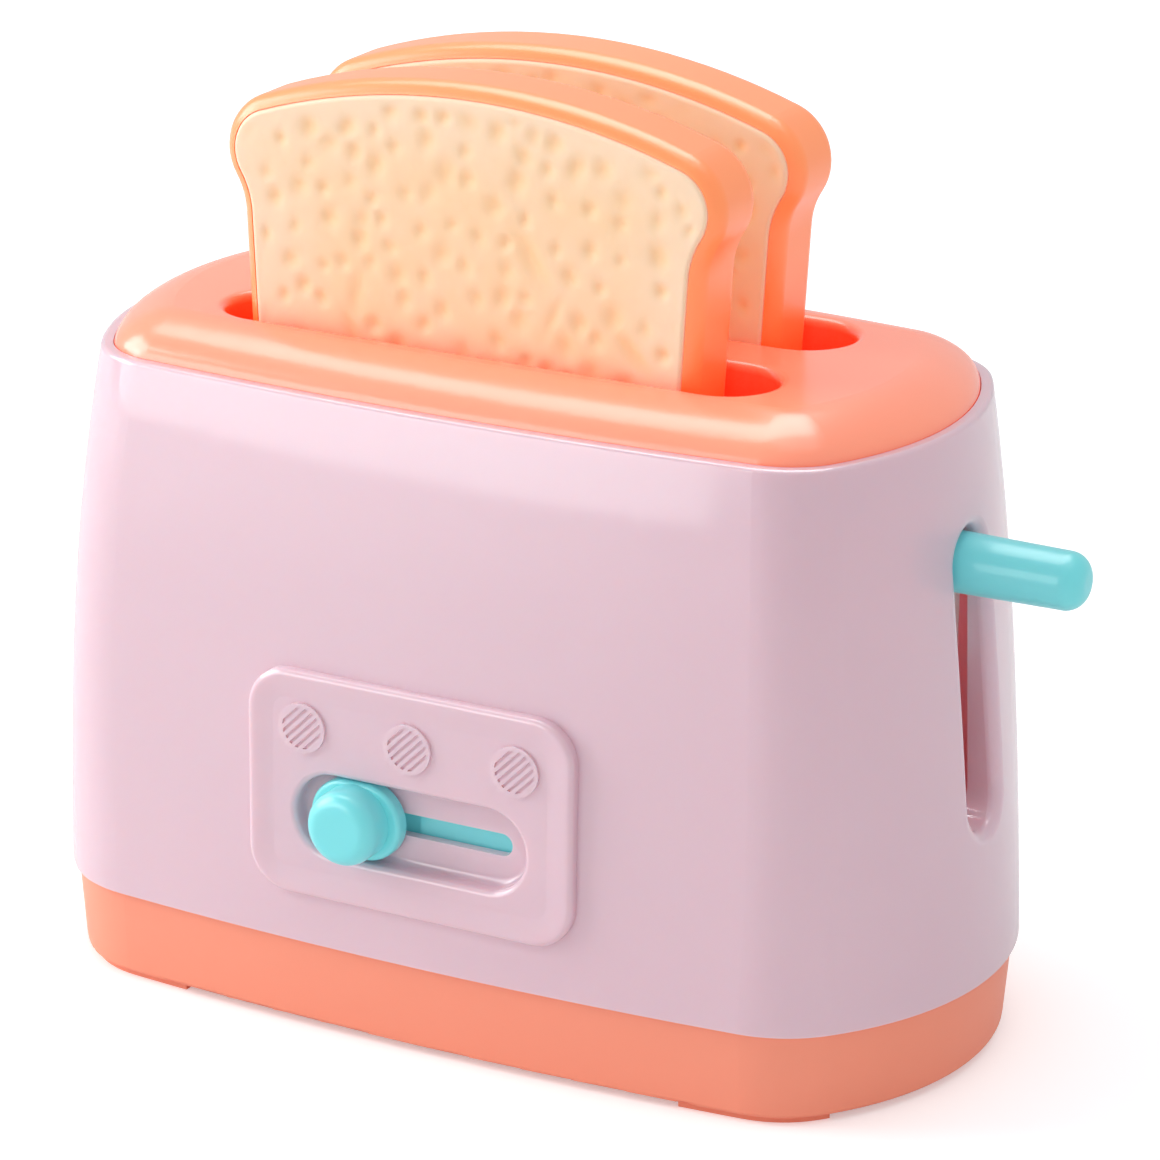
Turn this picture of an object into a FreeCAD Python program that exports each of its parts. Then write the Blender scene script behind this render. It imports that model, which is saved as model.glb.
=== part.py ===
import FreeCAD, Part
import math
import os
import re
import Sketcher

# Toy toaster with two slices of toy bread, modelled upright with +X towards the lever,
# -Y towards the knob and +Z up. The pieces are drawn in the shell's own frame, whose z = 0 is
# the shell's lower edge, and every piece is then placed by the same shift, so that the origin
# of the finished toy is the centre of its footprint, on the floor.

Vector = FreeCAD.Vector
doc = FreeCAD.newDocument("ToyToaster")
sheet = doc.addObject("Spreadsheet::Sheet", "Sizes")

SIZES = {
    # outer shell: half sizes at the lower edge and at the rim, and how the faces bow and lean
    "shell_tall": 93.2,
    "shell_half_long": 85.0,
    "shell_half_wide": 44.42,
    "rim_half_long": 76.05,
    "rim_half_wide": 38.95,
    "end_lean": 1.22,
    "front_lean": 3.5,
    "front_bow": 5.69,
    "rim_front_bow": 4.68,
    "end_bow": 24.35,
    "rim_end_bow": 15.39,
    "end_bow_sag": 2.45,
    "corner_round": 20.1,
    "rim_corner_round": 15.5,
    "corner_sag": 1.11,
    "shell_wall": 3.0,
    "rim_wall": 2.0,
    "rim_round": 0.8,
    "ledge_width": 3.5,
    "ledge_thick": 3.0,
    # slot for the lever in the right-hand end of the shell
    "lever_slot_wide": 11.3,
    "lever_slot_bottom": 25.0,
    "lever_slot_top": 76.1,
    "lever_slot_round": 2.0,
    "slot_guard_wide": 3.0,
    "slot_guard_gap": 4.0,
    # control panel on the front of the shell
    "panel_long": 60.6,
    "panel_tall": 39.4,
    "panel_mid_height": 28.6,
    "panel_round": 7.5,
    "panel_face": 45.5,
    "panel_edge_round": 1.0,
    "panel_rim_wide": 1.3,
    "panel_slope_wide": 3.5,
    "panel_dish": 0.4,
    "recess_long": 43.0,
    "recess_tall": 14.3,
    "recess_height": 23.9,
    "recess_depth": 3.9,
    "recess_lip": 1.0,
    "recess_floor_round": 1.2,
    "backing_margin": 3.4,
    "backing_thick": 1.8,
    "knob_slot_long": 35.0,
    "knob_slot_tall": 3.9,
    "disc_wide": 8.6,
    "disc_pitch": 19.8,
    "disc_height": 38.7,
    "disc_proud": 0.5,
    "disc_rim_wide": 0.7,
    "groove_pitch": 1.16,
    "groove_wide": 0.52,
    "groove_deep": 0.35,
    # top cover with the two bread chutes
    "cover_gap": 0.15,
    "cover_edge_tall": 3.3,
    "crown_tall": 6.4,
    "crown_land": 1.66082,
    "crown_power": 1.6,
    "cover_skin": 2.7,
    "cover_edge_wide": 6.9,
    "bread_slot_long": 100.4,
    "bread_slot_wide": 17.2,
    "bread_slot_mid": -0.8,
    "bread_half_pitch": 14.5,
    "bread_slot_round": 1.6,
    "chute_wall": 1.6,
    "chute_bottom": 74.0,
    "post_wide": 7.0,
    "post_x": 50.0,
    "post_y": 27.0,
    "post_bottom": 6.0,
    "post_hole_deep": 14.0,
    "post_root": 0.3,
    "rod_tube_wide": 9.0,
    "rod_socket_deep": 6.0,
    # base tub
    "base_tall": 16.5,
    "base_inset": 1.0,
    "base_lean": 1.2,
    "base_wall": 2.4,
    "base_floor": 2.5,
    "base_edge_round": 0.8,
    "foot_tall": 1.2,
    "foot_inset": 3.6,
    "foot_start_x": 47.0,
    "foot_start_y": 31.0,
    "upstand_tall": 5.0,
    "upstand_gap": 0.15,
    "base_boss_wide": 10.0,
    "rod_boss_wide": 10.0,
    "rod_boss_top": -2.0,
    "rod_bottom": -10.0,
    # screws that hold the base, the shell and the cover together
    "screw_wide": 2.9,
    "screw_long": 18.0,
    "screw_head_wide": 5.6,
    "screw_head_tall": 2.2,
    "screw_seat": -4.0,
    "screw_slack": 0.4,
    "pilot_slack": 0.1,
    "pilot_past": 0.8,
    "drive_wide": 0.9,
    # guide rods and lift springs
    "rod_wide": 4.0,
    "rod_x": 62.0,
    "rod_slack": 0.1,
    "spring_wide": 8.0,
    "spring_wire": 0.9,
    "spring_turns": 9.0,
    "spring_seat_gap": 0.2,
    "rod_chamfer": 0.3,
    # bread carriage
    "tray_floor": 58.0,
    "floor_thick": 2.0,
    "tray_wide": 15.0,
    "tray_wall": 1.2,
    "tray_wall_tall": 8.0,
    "tray_end_gap": 2.5,
    "hub_wide": 12.0,
    "hub_tall": 14.0,
    "hub_bore_slack": 0.16,
    "stop_gap": 0.3,
    "arm_wide": 8.0,
    "lever_plate_in": 70.0,
    "lever_plate_thick": 3.0,
    "lever_plate_wide": 16.0,
    "lever_plate_over": 6.0,
    "catch_from": 24.0,
    "catch_long": 8.0,
    "catch_reach": 31.5,
    "catch_rise": 1.6,
    # lever
    "lever_wide": 9.6,
    "lever_root_wide": 10.2,
    "lever_tip": 98.4,
    "lever_tip_round": 3.6,
    "lever_height": 70.4,
    "lever_screw_long": 14.0,
    # toy bread
    "slice_mid": -2.9,
    "slice_thick": 14.0,
    "slice_tall": 85.1,
    "slice_rest_gap": 0.1,
    "slice_half_foot": 39.5,
    "slice_half_head": 45.6,
    "slice_foot_round": 4.0,
    "slice_head_round": 9.5,
    "slice_neck_round": 12.0,
    "slice_top_round": 119.0,
    "slice_neck_in": 3.24,
    "crust_round": 3.0,
    "crumb_inset": 2.2,
    "crumb_gap": 0.05,
    "crumb_thick": 2.5,
    "crumb_proud": 0.25,
    "crumb_round": 0.8,
    "crust_shelf": 4.0,
    "crust_web": 2.2,
    # browning knob, its strip and the frame that holds the strip
    "knob_rest": -10.4,
    "knob_wide": 12.8,
    "knob_front": 50.5,
    "knob_dome": 2.5,
    "flange_long": 16.9,
    "flange_tall": 13.5,
    "flange_front": 44.6,
    "flange_gap": 0.6,
    "flange_round": 0.8,
    "stem_long": 12.0,
    "stem_tall": 3.5,
    "strip_gap": 0.3,
    "strip_thick": 1.8,
    "strip_long": 57.0,
    "strip_tall": 11.0,
    "strip_height": 23.8,
    "strip_step": 0.9,
    "strip_step_from": 9.6,
    "finger_from": 16.0,
    "finger_long": 8.0,
    "finger_bottom": 21.5,
    "finger_tall": 4.5,
    "finger_reach": 28.5,
    "slide_screw_wide": 1.9,
    "slide_screw_long": 8.0,
    "slide_head_wide": 4.6,
    "slide_head_tall": 1.5,
    "frame_screw_long": 4.6,
    "frame_gap": 0.3,
    "frame_thick": 1.6,
    "frame_long": 80.0,
    "frame_tall": 18.0,
    "frame_ear_x": 45.0,
    "frame_ear_wide": 8.0,
    "frame_boss_wide": 7.0,
    "window_from": -16.0,
    "window_to": 37.0,
    "window_tall": 7.5,
}

for row, (alias, number) in enumerate(SIZES.items(), 1):
    sheet.set(f"A{row}", alias)
    sheet.set(f"B{row}", str(number))
    sheet.setAlias(f"B{row}", alias)
doc.recompute()


def linked(text):
    """Return an expression in which every size name refers to its cell."""
    return re.sub(r"\w+", lambda word: f"Sizes.{word[0]}" if word[0] in SIZES else word[0], text)


def value(text):
    """Work out an expression of size names as a number."""
    return float(sheet.evalExpression(linked(text)))


def bind(item, target, text):
    """Bind a property of an object to an expression of size names."""
    item.setExpression(target, linked(text))


# Places that several pieces share, each an expression of the sizes above.

ledge_top = "(shell_tall - cover_edge_tall)"
ledge_bottom = "(shell_tall - cover_edge_tall - ledge_thick)"
panel_back = "(panel_face - recess_depth - backing_thick)"
recess_floor = "(panel_face - recess_depth)"
base_floor_top = "(base_floor + foot_tall - base_tall)"
base_bottom = "(foot_tall - base_tall)"
cover_ceiling = "(shell_tall + crown_tall - cover_skin)"
carriage_floor = "(tray_floor - floor_thick)"
hub_top = "(tray_floor + floor_thick)"
hub_bottom = f"({hub_top} - hub_tall)"
tube_bottom = f"({hub_top} + stop_gap)"
rod_top = f"({tube_bottom} + rod_socket_deep)"
slice_foot = "(tray_floor + slice_rest_gap)"
strip_front = f"({panel_back} - strip_gap)"
strip_back = f"({strip_front} - strip_thick)"
frame_front = f"({strip_back} - frame_gap)"
frame_back = f"({frame_front} - frame_thick)"
lever_root = "(lever_plate_in + lever_plate_thick)"
pieces = []


# Helpers for bodies, sketches and features.

def new_body(label):
    """Start a PartDesign body for one sub-part."""
    body = doc.addObject("PartDesign::Body", label)
    body.Label = label
    pieces.append(body)
    return body


def sketch(body, name, plane, x="0", y="0", lift="0", turn=0):
    """Add a sketch on one of the body's origin planes, moved by x, y and lift, turned in degrees."""
    drawing = body.newObject("Sketcher::SketchObject", name)
    face = next(item for item in body.Origin.OriginFeatures if item.Role == plane)
    drawing.AttachmentSupport = [(face, "")]
    drawing.MapMode = "FlatFace"
    spin = FreeCAD.Rotation(Vector(0, 0, 1), turn)
    drawing.AttachmentOffset = FreeCAD.Placement(Vector(), spin)
    for axis, text in zip("xyz", (x, y, lift)):
        bind(drawing, f".AttachmentOffset.Base.{axis}", text)
    return drawing


def add_rule(drawing, *parts):
    """Add a constraint to a sketch and return its number."""
    return drawing.addConstraint(Sketcher.Constraint(*parts))


def add_size(drawing, kind, parts, text, number=None):
    """Add a driving dimension bound to an expression."""
    size = value(text) if number is None else number
    index = add_rule(drawing, kind, *parts, size)
    drawing.setExpression(f"Constraints[{index}]", linked(text))


def pin_point(drawing, shape, point, x, y):
    """Place a point of a sketch shape by its distances from the sketch's origin."""
    for kind, axis, text in (("DistanceX", -2, x), ("DistanceY", -1, y)):
        if text == "0":
            add_rule(drawing, "PointOnObject", shape, point, axis)
        elif value(text) >= 0:
            add_size(drawing, kind, (-1, 1, shape, point), text)
        else:
            add_size(drawing, kind, (shape, point, -1, 1), f"-({text})")


def draw_circle(drawing, wide, x="0", y="0"):
    """Draw a circle of the given diameter."""
    centre = Vector(value(x), value(y), 0)
    shape = drawing.addGeometry(Part.Circle(centre, Vector(0, 0, 1), value(wide) / 2))
    pin_point(drawing, shape, 3, x, y)
    add_size(drawing, "Radius", (shape,), f"({wide}) / 2")


def draw_outline(drawing, points):
    """Draw a closed outline of straight lines through points given as expressions."""
    corners = [Vector(value(x), value(y), 0) for x, y in points]
    count = len(corners)
    lines = [drawing.addGeometry(Part.LineSegment(corners[i], corners[(i + 1) % count]))
             for i in range(count)]
    for i in range(count):
        add_rule(drawing, "Coincident", lines[i], 2, lines[(i + 1) % count], 1)
    for line, (x, y) in zip(lines, points):
        pin_point(drawing, line, 1, x, y)


def draw_box(drawing, left, right, low, high):
    """Draw a rectangle between expressions for its four sides."""
    draw_outline(drawing, [(left, low), (right, low), (right, high), (left, high)])


def arc(centre, radius, start, end):
    """Return an arc between two angles in radians, anticlockwise."""
    return Part.ArcOfCircle(Part.Circle(centre, Vector(0, 0, 1), radius), start, end)


def draw_chain(drawing, shapes, backward=()):
    """Draw shapes that follow each other, each tangent to the next; some run backward."""
    numbers = [drawing.addGeometry(shape) for shape in shapes]
    for i, number in enumerate(numbers):
        following = (i + 1) % len(numbers)
        leave = 1 if i in backward else 2
        enter = 2 if following in backward else 1
        add_rule(drawing, "Tangent", number, leave, numbers[following], enter)
    return numbers


def draw_pill(drawing, long, wide, upright=False):
    """Draw a shape with straight sides and full-round ends, centred on the origin."""
    radius = value(wide) / 2
    reach = value(long) / 2 - radius
    turn = math.pi / 2 if upright else 0
    quarter = math.pi / 2
    along = Vector(math.cos(turn), math.sin(turn), 0)
    across = Vector(-math.sin(turn), math.cos(turn), 0)
    far, _, near, _ = draw_chain(drawing, [
        arc(along * reach, radius, turn - quarter, turn + quarter),
        Part.LineSegment(along * reach + across * radius, along * -reach + across * radius),
        arc(along * -reach, radius, turn + quarter, turn + 3 * quarter),
        Part.LineSegment(along * -reach - across * radius, along * reach - across * radius)])
    axis, kind = (-2, "DistanceY") if upright else (-1, "DistanceX")
    add_rule(drawing, "Equal", far, near)
    add_rule(drawing, "PointOnObject", far, 3, axis)
    add_rule(drawing, "Symmetric", far, 3, near, 3, -1, 1)
    add_size(drawing, "Radius", (far,), f"({wide}) / 2")
    add_size(drawing, kind, (near, 3, far, 3), f"({long}) - ({wide})")


def draw_soft_box(drawing, long, tall, corner):
    """Draw a rectangle with round corners, centred on the origin."""
    radius = value(corner)
    half_x = value(long) / 2 - radius
    half_y = value(tall) / 2 - radius
    quarter = math.pi / 2
    shapes = []
    for turn, (x, y) in enumerate(((half_x, half_y), (-half_x, half_y),
                                   (-half_x, -half_y), (half_x, -half_y))):
        start = turn * quarter
        shapes.append(arc(Vector(x, y, 0), radius, start, start + quarter))
        leave = Vector(x + radius * math.cos(start + quarter), y + radius * math.sin(start + quarter), 0)
        run = Vector(-2 * half_x * math.cos(start), -2 * half_y * math.sin(start), 0)
        shapes.append(Part.LineSegment(leave, leave + run))
    numbers = draw_chain(drawing, shapes)
    arcs, lines = numbers[0::2], numbers[1::2]
    for line, kind in zip(lines, ("Horizontal", "Vertical", "Horizontal", "Vertical")):
        add_rule(drawing, kind, line)
    for other in arcs[1:]:
        add_rule(drawing, "Equal", arcs[0], other)
    add_rule(drawing, "Symmetric", arcs[0], 3, arcs[2], 3, -1, 1)
    add_size(drawing, "Radius", (arcs[0],), corner)
    add_size(drawing, "DistanceX", (arcs[1], 3, arcs[0], 3), f"({long}) - 2 * ({corner})")
    add_size(drawing, "DistanceY", (arcs[3], 3, arcs[0], 3), f"({tall}) - 2 * ({corner})")


def ring_sizes(height):
    """Return expressions for the shell's outline at a height: half length and width, bows, corner."""
    share = f"(({height}) / shell_tall)"
    swell = f"(4 * {share} * (1 - {share}))"
    return (f"(shell_half_long - (shell_half_long - rim_half_long) * {share}^end_lean)",
            f"(shell_half_wide - (shell_half_wide - rim_half_wide) * {share}^front_lean)",
            f"(front_bow + (rim_front_bow - front_bow) * {share})",
            f"(end_bow + (rim_end_bow - end_bow) * {share} - end_bow_sag * {swell})",
            f"(corner_round + (rim_corner_round - corner_round) * {share} - corner_sag * {swell})")


def draw_ring(drawing, height, inset="0"):
    """Draw the shell's outline at a height, moved inwards: bowed front, back, ends and corners."""
    half_long, half_wide, bow, end, corner = ring_sizes(height)
    front_radius = f"(({half_long}^2 + {bow}^2) / (2 * {bow}))"
    end_radius = f"(({half_wide}^2 + {end}^2) / (2 * {end}))"
    front, side, small, gap = (value(text) for text in (front_radius, end_radius, corner, inset))
    front_y = front - value(half_wide)
    side_x = value(half_long) - side
    apart = math.hypot(front_y, side_x)
    cosine = ((front - small)**2 + apart**2 - (side - small)**2) / (2 * (front - small) * apart)
    heading = math.atan2(-front_y, side_x) + math.acos(cosine)
    corner_x = (front - small) * math.cos(heading)
    corner_y = front_y + (front - small) * math.sin(heading)
    turn = math.atan2(corner_y, corner_x - side_x)
    half = math.pi
    centres = [(0, front_y), (corner_x, corner_y), (side_x, 0), (corner_x, -corner_y),
               (0, -front_y), (-corner_x, -corner_y), (-side_x, 0), (-corner_x, corner_y)]
    radii = [front, small, side, small] * 2
    angles = [-half - heading, heading, turn, -turn, -heading, half + heading, half + turn,
              half - turn, half - heading]
    arcs = draw_chain(drawing, [
        arc(Vector(x, y, 0), radius - gap, angles[i], angles[i + 1])
        for i, ((x, y), radius) in enumerate(zip(centres, radii))])
    front_centre = f"({front_radius} - {half_wide})"
    side_centre = f"({half_long} - {end_radius})"
    pin_point(drawing, arcs[0], 3, "0", front_centre)
    pin_point(drawing, arcs[4], 3, "0", f"-{front_centre}")
    pin_point(drawing, arcs[2], 3, side_centre, "0")
    pin_point(drawing, arcs[6], 3, f"-{side_centre}", "0")
    for first, others in ((0, (4,)), (2, (6,)), (1, (3, 5, 7))):
        for other in others:
            add_rule(drawing, "Equal", arcs[first], arcs[other])
    add_size(drawing, "Radius", (arcs[0],), f"{front_radius} - ({inset})")
    add_size(drawing, "Radius", (arcs[2],), f"{end_radius} - ({inset})")
    add_size(drawing, "Radius", (arcs[1],), f"{corner} - ({inset})")


def finish(body, feature):
    """Make a feature the body's tip and bring the model up to date."""
    body.Tip = feature
    doc.recompute()
    return feature


def pad(body, drawing, length, back=False):
    """Pad a sketch along its normal, or against it."""
    feature = body.newObject("PartDesign::Pad", f"{drawing.Name}Pad")
    feature.Profile = drawing
    bind(feature, "Length", length)
    feature.Reversed = back
    return finish(body, feature)


def pocket(body, drawing, depth, ahead=False):
    """Cut a sketch away against its normal, or along it."""
    feature = body.newObject("PartDesign::Pocket", f"{drawing.Name}Pocket")
    feature.Profile = drawing
    bind(feature, "Length", depth)
    feature.Reversed = ahead
    return finish(body, feature)


def loft(body, drawings, cut=False):
    """Join sketches by a smooth loft, added or cut away."""
    kind = "Subtractive" if cut else "Additive"
    feature = body.newObject(f"PartDesign::{kind}Loft", f"{drawings[0].Name}Loft")
    feature.Profile = drawings[0]
    feature.Sections = drawings[1:]
    return finish(body, feature)


def revolve(body, drawing, axis):
    """Turn a sketch about one of its own axes."""
    feature = body.newObject("PartDesign::Revolution", f"{drawing.Name}Turned")
    feature.Profile = drawing
    feature.ReferenceAxis = (drawing, [axis])
    feature.Angle = 360
    return finish(body, feature)


def round_edges(body, name, radius, picks):
    """Fillet the edges of the body that a test picks."""
    base = body.Tip
    edges = [f"Edge{i}" for i, edge in enumerate(base.Shape.Edges, 1) if picks(edge)]
    feature = body.newObject("PartDesign::Fillet", name)
    feature.Base = (base, edges)
    bind(feature, "Radius", radius)
    return finish(body, feature)


def within(edge, x=None, y=None, z=None, slack=0.02):
    """Say whether an edge lies inside the given ranges, each a pair of numbers."""
    box = edge.BoundBox
    spans = ((x, box.XMin, box.XMax), (y, box.YMin, box.YMax), (z, box.ZMin, box.ZMax))
    return all(limit is None or (limit[0] - slack <= low and high <= limit[1] + slack)
               for limit, low, high in spans)


def cylinder(label, wide, tall, x, y, z, axis="z"):
    """Add a cylinder that starts at a place and runs along +X, +Y or +Z."""
    item = doc.addObject("Part::Cylinder", label)
    turns = {"x": (Vector(0, 1, 0), 90), "y": (Vector(1, 0, 0), -90), "z": (Vector(0, 0, 1), 0)}
    item.Placement = FreeCAD.Placement(Vector(), FreeCAD.Rotation(*turns[axis]))
    bind(item, "Radius", f"({wide}) / 2")
    bind(item, "Height", tall)
    for side, text in zip("xyz", (x, y, z)):
        bind(item, f"Placement.Base.{side}", text)
    return item


def block(label, spans):
    """Add a box between pairs of expressions along X, Y and Z."""
    item = doc.addObject("Part::Box", label)
    for side, length, (low, high) in zip("xyz", ("Length", "Width", "Height"), spans):
        bind(item, f"Placement.Base.{side}", low)
        bind(item, length, f"({high}) - ({low})")
    return item


def fused(label, items):
    """Join several objects."""
    item = doc.addObject("Part::MultiFuse", label)
    item.Shapes = items
    return item


def without(label, base, tool):
    """Cut one object away from another."""
    item = doc.addObject("Part::Cut", label)
    item.Base = base
    item.Tool = tool
    return item


def keep(item, label):
    """Make an object a sub-part with a label of its own."""
    item.Label = label
    pieces.append(item)
    return item


def draw_slice(drawing, inset="0"):
    """Draw the outline of a slice of bread, standing on the origin, moved inwards by an inset."""
    names = ("slice_top_round", "slice_head_round", "slice_neck_round", "slice_foot_round", inset)
    top_radius, head_radius, neck_radius, foot_radius, gap = (value(name) for name in names)
    neck_place = "slice_half_head - slice_neck_in + slice_neck_round"
    top = Vector(0, value("slice_tall - slice_top_round"), 0)
    foot = Vector(value("slice_half_foot - slice_foot_round"), foot_radius, 0)
    head_x = value("slice_half_head - slice_head_round")
    head = Vector(head_x, top.y + math.sqrt((top_radius - head_radius)**2 - head_x**2), 0)
    neck_x = value(neck_place)
    drop = math.sqrt((head_radius + neck_radius)**2 - (neck_x - head_x)**2)
    neck = Vector(neck_x, head.y - drop, 0)
    rise = neck - foot
    lean = math.acos((foot_radius + neck_radius) / rise.Length) - math.atan2(rise.y, rise.x)
    out = Vector(math.cos(lean), -math.sin(lean), 0)
    top_angle = math.atan2(head.y - top.y, head.x)
    neck_angle = math.atan2(neck.y - head.y, neck.x - head.x)
    half = math.pi

    def mirrored(point):
        return Vector(-point.x, point.y, 0)

    low = foot + out * (foot_radius - gap)
    high = neck - out * (neck_radius + gap)
    shapes = [
        Part.LineSegment(Vector(-foot.x, gap, 0), Vector(foot.x, gap, 0)),
        arc(foot, foot_radius - gap, -half / 2, -lean),
        Part.LineSegment(low, high),
        arc(neck, neck_radius + gap, half + neck_angle, half - lean),
        arc(head, head_radius - gap, neck_angle, top_angle),
        arc(top, top_radius - gap, top_angle, half - top_angle),
        arc(mirrored(head), head_radius - gap, half - top_angle, half - neck_angle),
        arc(mirrored(neck), neck_radius + gap, lean, -neck_angle),
        Part.LineSegment(mirrored(high), mirrored(low)),
        arc(mirrored(foot), foot_radius - gap, half + lean, 3 * half / 2)]
    bottom, foot_right, _, neck_right, head_right, crest, head_left, neck_left, _, foot_left = \
        draw_chain(drawing, shapes, backward=(3, 7))
    add_rule(drawing, "Horizontal", bottom)
    for right, left in ((foot_right, foot_left), (neck_right, neck_left), (head_right, head_left)):
        add_rule(drawing, "Equal", right, left)
    pin_point(drawing, crest, 3, "0", "slice_tall - slice_top_round")
    pin_point(drawing, foot_right, 3, "slice_half_foot - slice_foot_round", "slice_foot_round")
    add_size(drawing, "DistanceX", (foot_left, 3, -1, 1), "slice_half_foot - slice_foot_round")
    add_size(drawing, "DistanceX", (-1, 1, head_right, 3), "slice_half_head - slice_head_round")
    add_size(drawing, "DistanceX", (head_left, 3, -1, 1), "slice_half_head - slice_head_round")
    add_size(drawing, "DistanceX", (-1, 1, neck_right, 3), neck_place)
    add_size(drawing, "DistanceX", (neck_left, 3, -1, 1), neck_place)
    add_size(drawing, "Radius", (crest,), f"slice_top_round - ({inset})")
    add_size(drawing, "Radius", (head_right,), f"slice_head_round - ({inset})")
    add_size(drawing, "Radius", (neck_right,), f"slice_neck_round + ({inset})")
    add_size(drawing, "Radius", (foot_right,), f"slice_foot_round - ({inset})")


# The sub-parts, one function each.

def ring_sketch(body, name, lift, height, inset="0"):
    """Add a level sketch of the shell's outline."""
    drawing = sketch(body, name, "XY_Plane", lift=lift)
    draw_ring(drawing, height, inset)
    return drawing


def circles(body, name, lift, wide, places):
    """Add a level sketch with circles of one size at several places."""
    drawing = sketch(body, name, "XY_Plane", lift=lift)
    for x, y in places:
        draw_circle(drawing, wide, x, y)
    return drawing


post_places = [(f"{x}post_x", f"{y}post_y") for x in ("", "-") for y in ("", "-")]
rod_places = [(f"{x}rod_x", "0") for x in ("", "-")]


def build_shell():
    """Pink outer shell: one moulding, open below, with a ledge for the cover."""
    body = new_body("shell")
    levels = ("0", "shell_tall / 3", "2 * shell_tall / 3")
    shoulder = "(shell_tall - rim_round)"
    loft(body, [ring_sketch(body, f"Outside{i}", height, height)
                for i, height in enumerate(levels + (shoulder,))])
    loft(body, [ring_sketch(body, f"Rim{angle}", f"{shoulder} + rim_round * sin({angle})", shoulder,
                            f"rim_round * (1 - cos({angle}))") for angle in (0, 30, 60, 90)])
    add_panel(body)
    loft(body, [ring_sketch(body, f"Inside{i}", height, height, "shell_wall")
                for i, height in enumerate(levels + (ledge_bottom,))], cut=True)
    opening = ring_sketch(body, "LedgeOpening", "shell_tall", "shell_tall", "rim_wall + ledge_width")
    pocket(body, opening, "cover_edge_tall + ledge_thick + 1")
    seat = ring_sketch(body, "CoverSeat", "shell_tall", "shell_tall", "rim_wall")
    pocket(body, seat, "cover_edge_tall")
    add_knob_recess(body)
    add_discs(body)
    add_lever_slot(body)
    add_frame_bosses(body)


def add_panel(body):
    """Raise the control panel from the front wall, with a soft rim and a shallow dish."""
    outline = sketch(body, "Panel", "XZ_Plane", y="panel_mid_height", lift="panel_face")
    draw_soft_box(outline, "panel_long", "panel_tall", "panel_round")
    pad(body, outline, "panel_face - shell_half_wide + shell_wall", back=True)
    face = -value("panel_face")
    soft = "min(panel_edge_round; 0.9 * (panel_face - shell_half_wide))"
    round_edges(body, "PanelRound", soft, lambda edge: within(edge, y=(face, face)))
    levels = []
    for name, across, down in (("Edge", 0, 0), ("High", 0.3, 0.25), ("Low", 0.7, 0.8), ("Floor", 1, 1)):
        inset = f"(panel_rim_wide + {across} * panel_slope_wide)"
        level = sketch(body, f"Dish{name}", "XZ_Plane", y="panel_mid_height",
                       lift=f"panel_face - {down} * panel_dish")
        draw_soft_box(level, f"panel_long - 2 * {inset}", f"panel_tall - 2 * {inset}",
                      f"panel_round - {inset}")
        levels.append(level)
    loft(body, levels, cut=True)


def add_knob_recess(body):
    """Sink the recess for the knob, back it up from inside, and cut its slot."""
    backing = sketch(body, "Backing", "XZ_Plane", y="recess_height", lift=panel_back)
    draw_pill(backing, "recess_long + 2 * backing_margin", "recess_tall + 2 * backing_margin")
    pad(body, backing, f"shell_half_wide - shell_wall / 2 - {panel_back}")
    recess = sketch(body, "Recess", "XZ_Plane", y="recess_height", lift="panel_face + 1")
    draw_pill(recess, "recess_long", "recess_tall")
    pocket(body, recess, "recess_depth + 1")
    reach = value("recess_long / 2")
    for name, radius, depth in (("RecessFloorRound", "recess_floor_round", value(recess_floor)),
                                ("RecessLip", "recess_lip", value("panel_face - panel_dish"))):
        round_edges(body, name, radius, lambda edge: within(
            edge, x=(-reach, reach), y=(-depth, -depth), z=(0, value("recess_height + recess_tall / 2"))))
    slot = sketch(body, "KnobSlot", "XZ_Plane", y="recess_height", lift="panel_face + 1")
    draw_pill(slot, "knob_slot_long", "knob_slot_tall")
    pocket(body, slot, "recess_depth + backing_thick + 3")


def add_discs(body):
    """Add the row of three discs, each with slanting grooves."""
    row = ("-disc_pitch", "0", "disc_pitch")
    root = "panel_face - panel_dish - shell_wall / 4"
    discs = sketch(body, "Discs", "XZ_Plane", lift=root)
    for x in row:
        draw_circle(discs, "disc_wide", x, "disc_height")
    pad(body, discs, "disc_proud + shell_wall / 4")
    for number, x in enumerate(row):
        drawing = sketch(body, f"Grooves{number}", "XZ_Plane", x, "disc_height",
                         "panel_face - panel_dish + disc_proud", turn=45)
        for step in (-2.5, -1.5, -0.5, 0.5, 1.5, 2.5):
            middle = f"({step} * groove_pitch)"
            half = f"sqrt((disc_wide / 2)^2 - (abs({middle}) + groove_wide / 2)^2)"
            draw_box(drawing, f"-{half}", half, f"{middle} - groove_wide / 2", f"{middle} + groove_wide / 2")
        pocket(body, drawing, "groove_deep")
    rims = sketch(body, "DiscRims", "XZ_Plane", lift=root)
    for x in row:
        draw_circle(rims, "disc_wide", x, "disc_height")
        draw_circle(rims, "disc_wide - 2 * disc_rim_wide", x, "disc_height")
    pad(body, rims, "disc_proud + shell_wall / 4")


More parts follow.
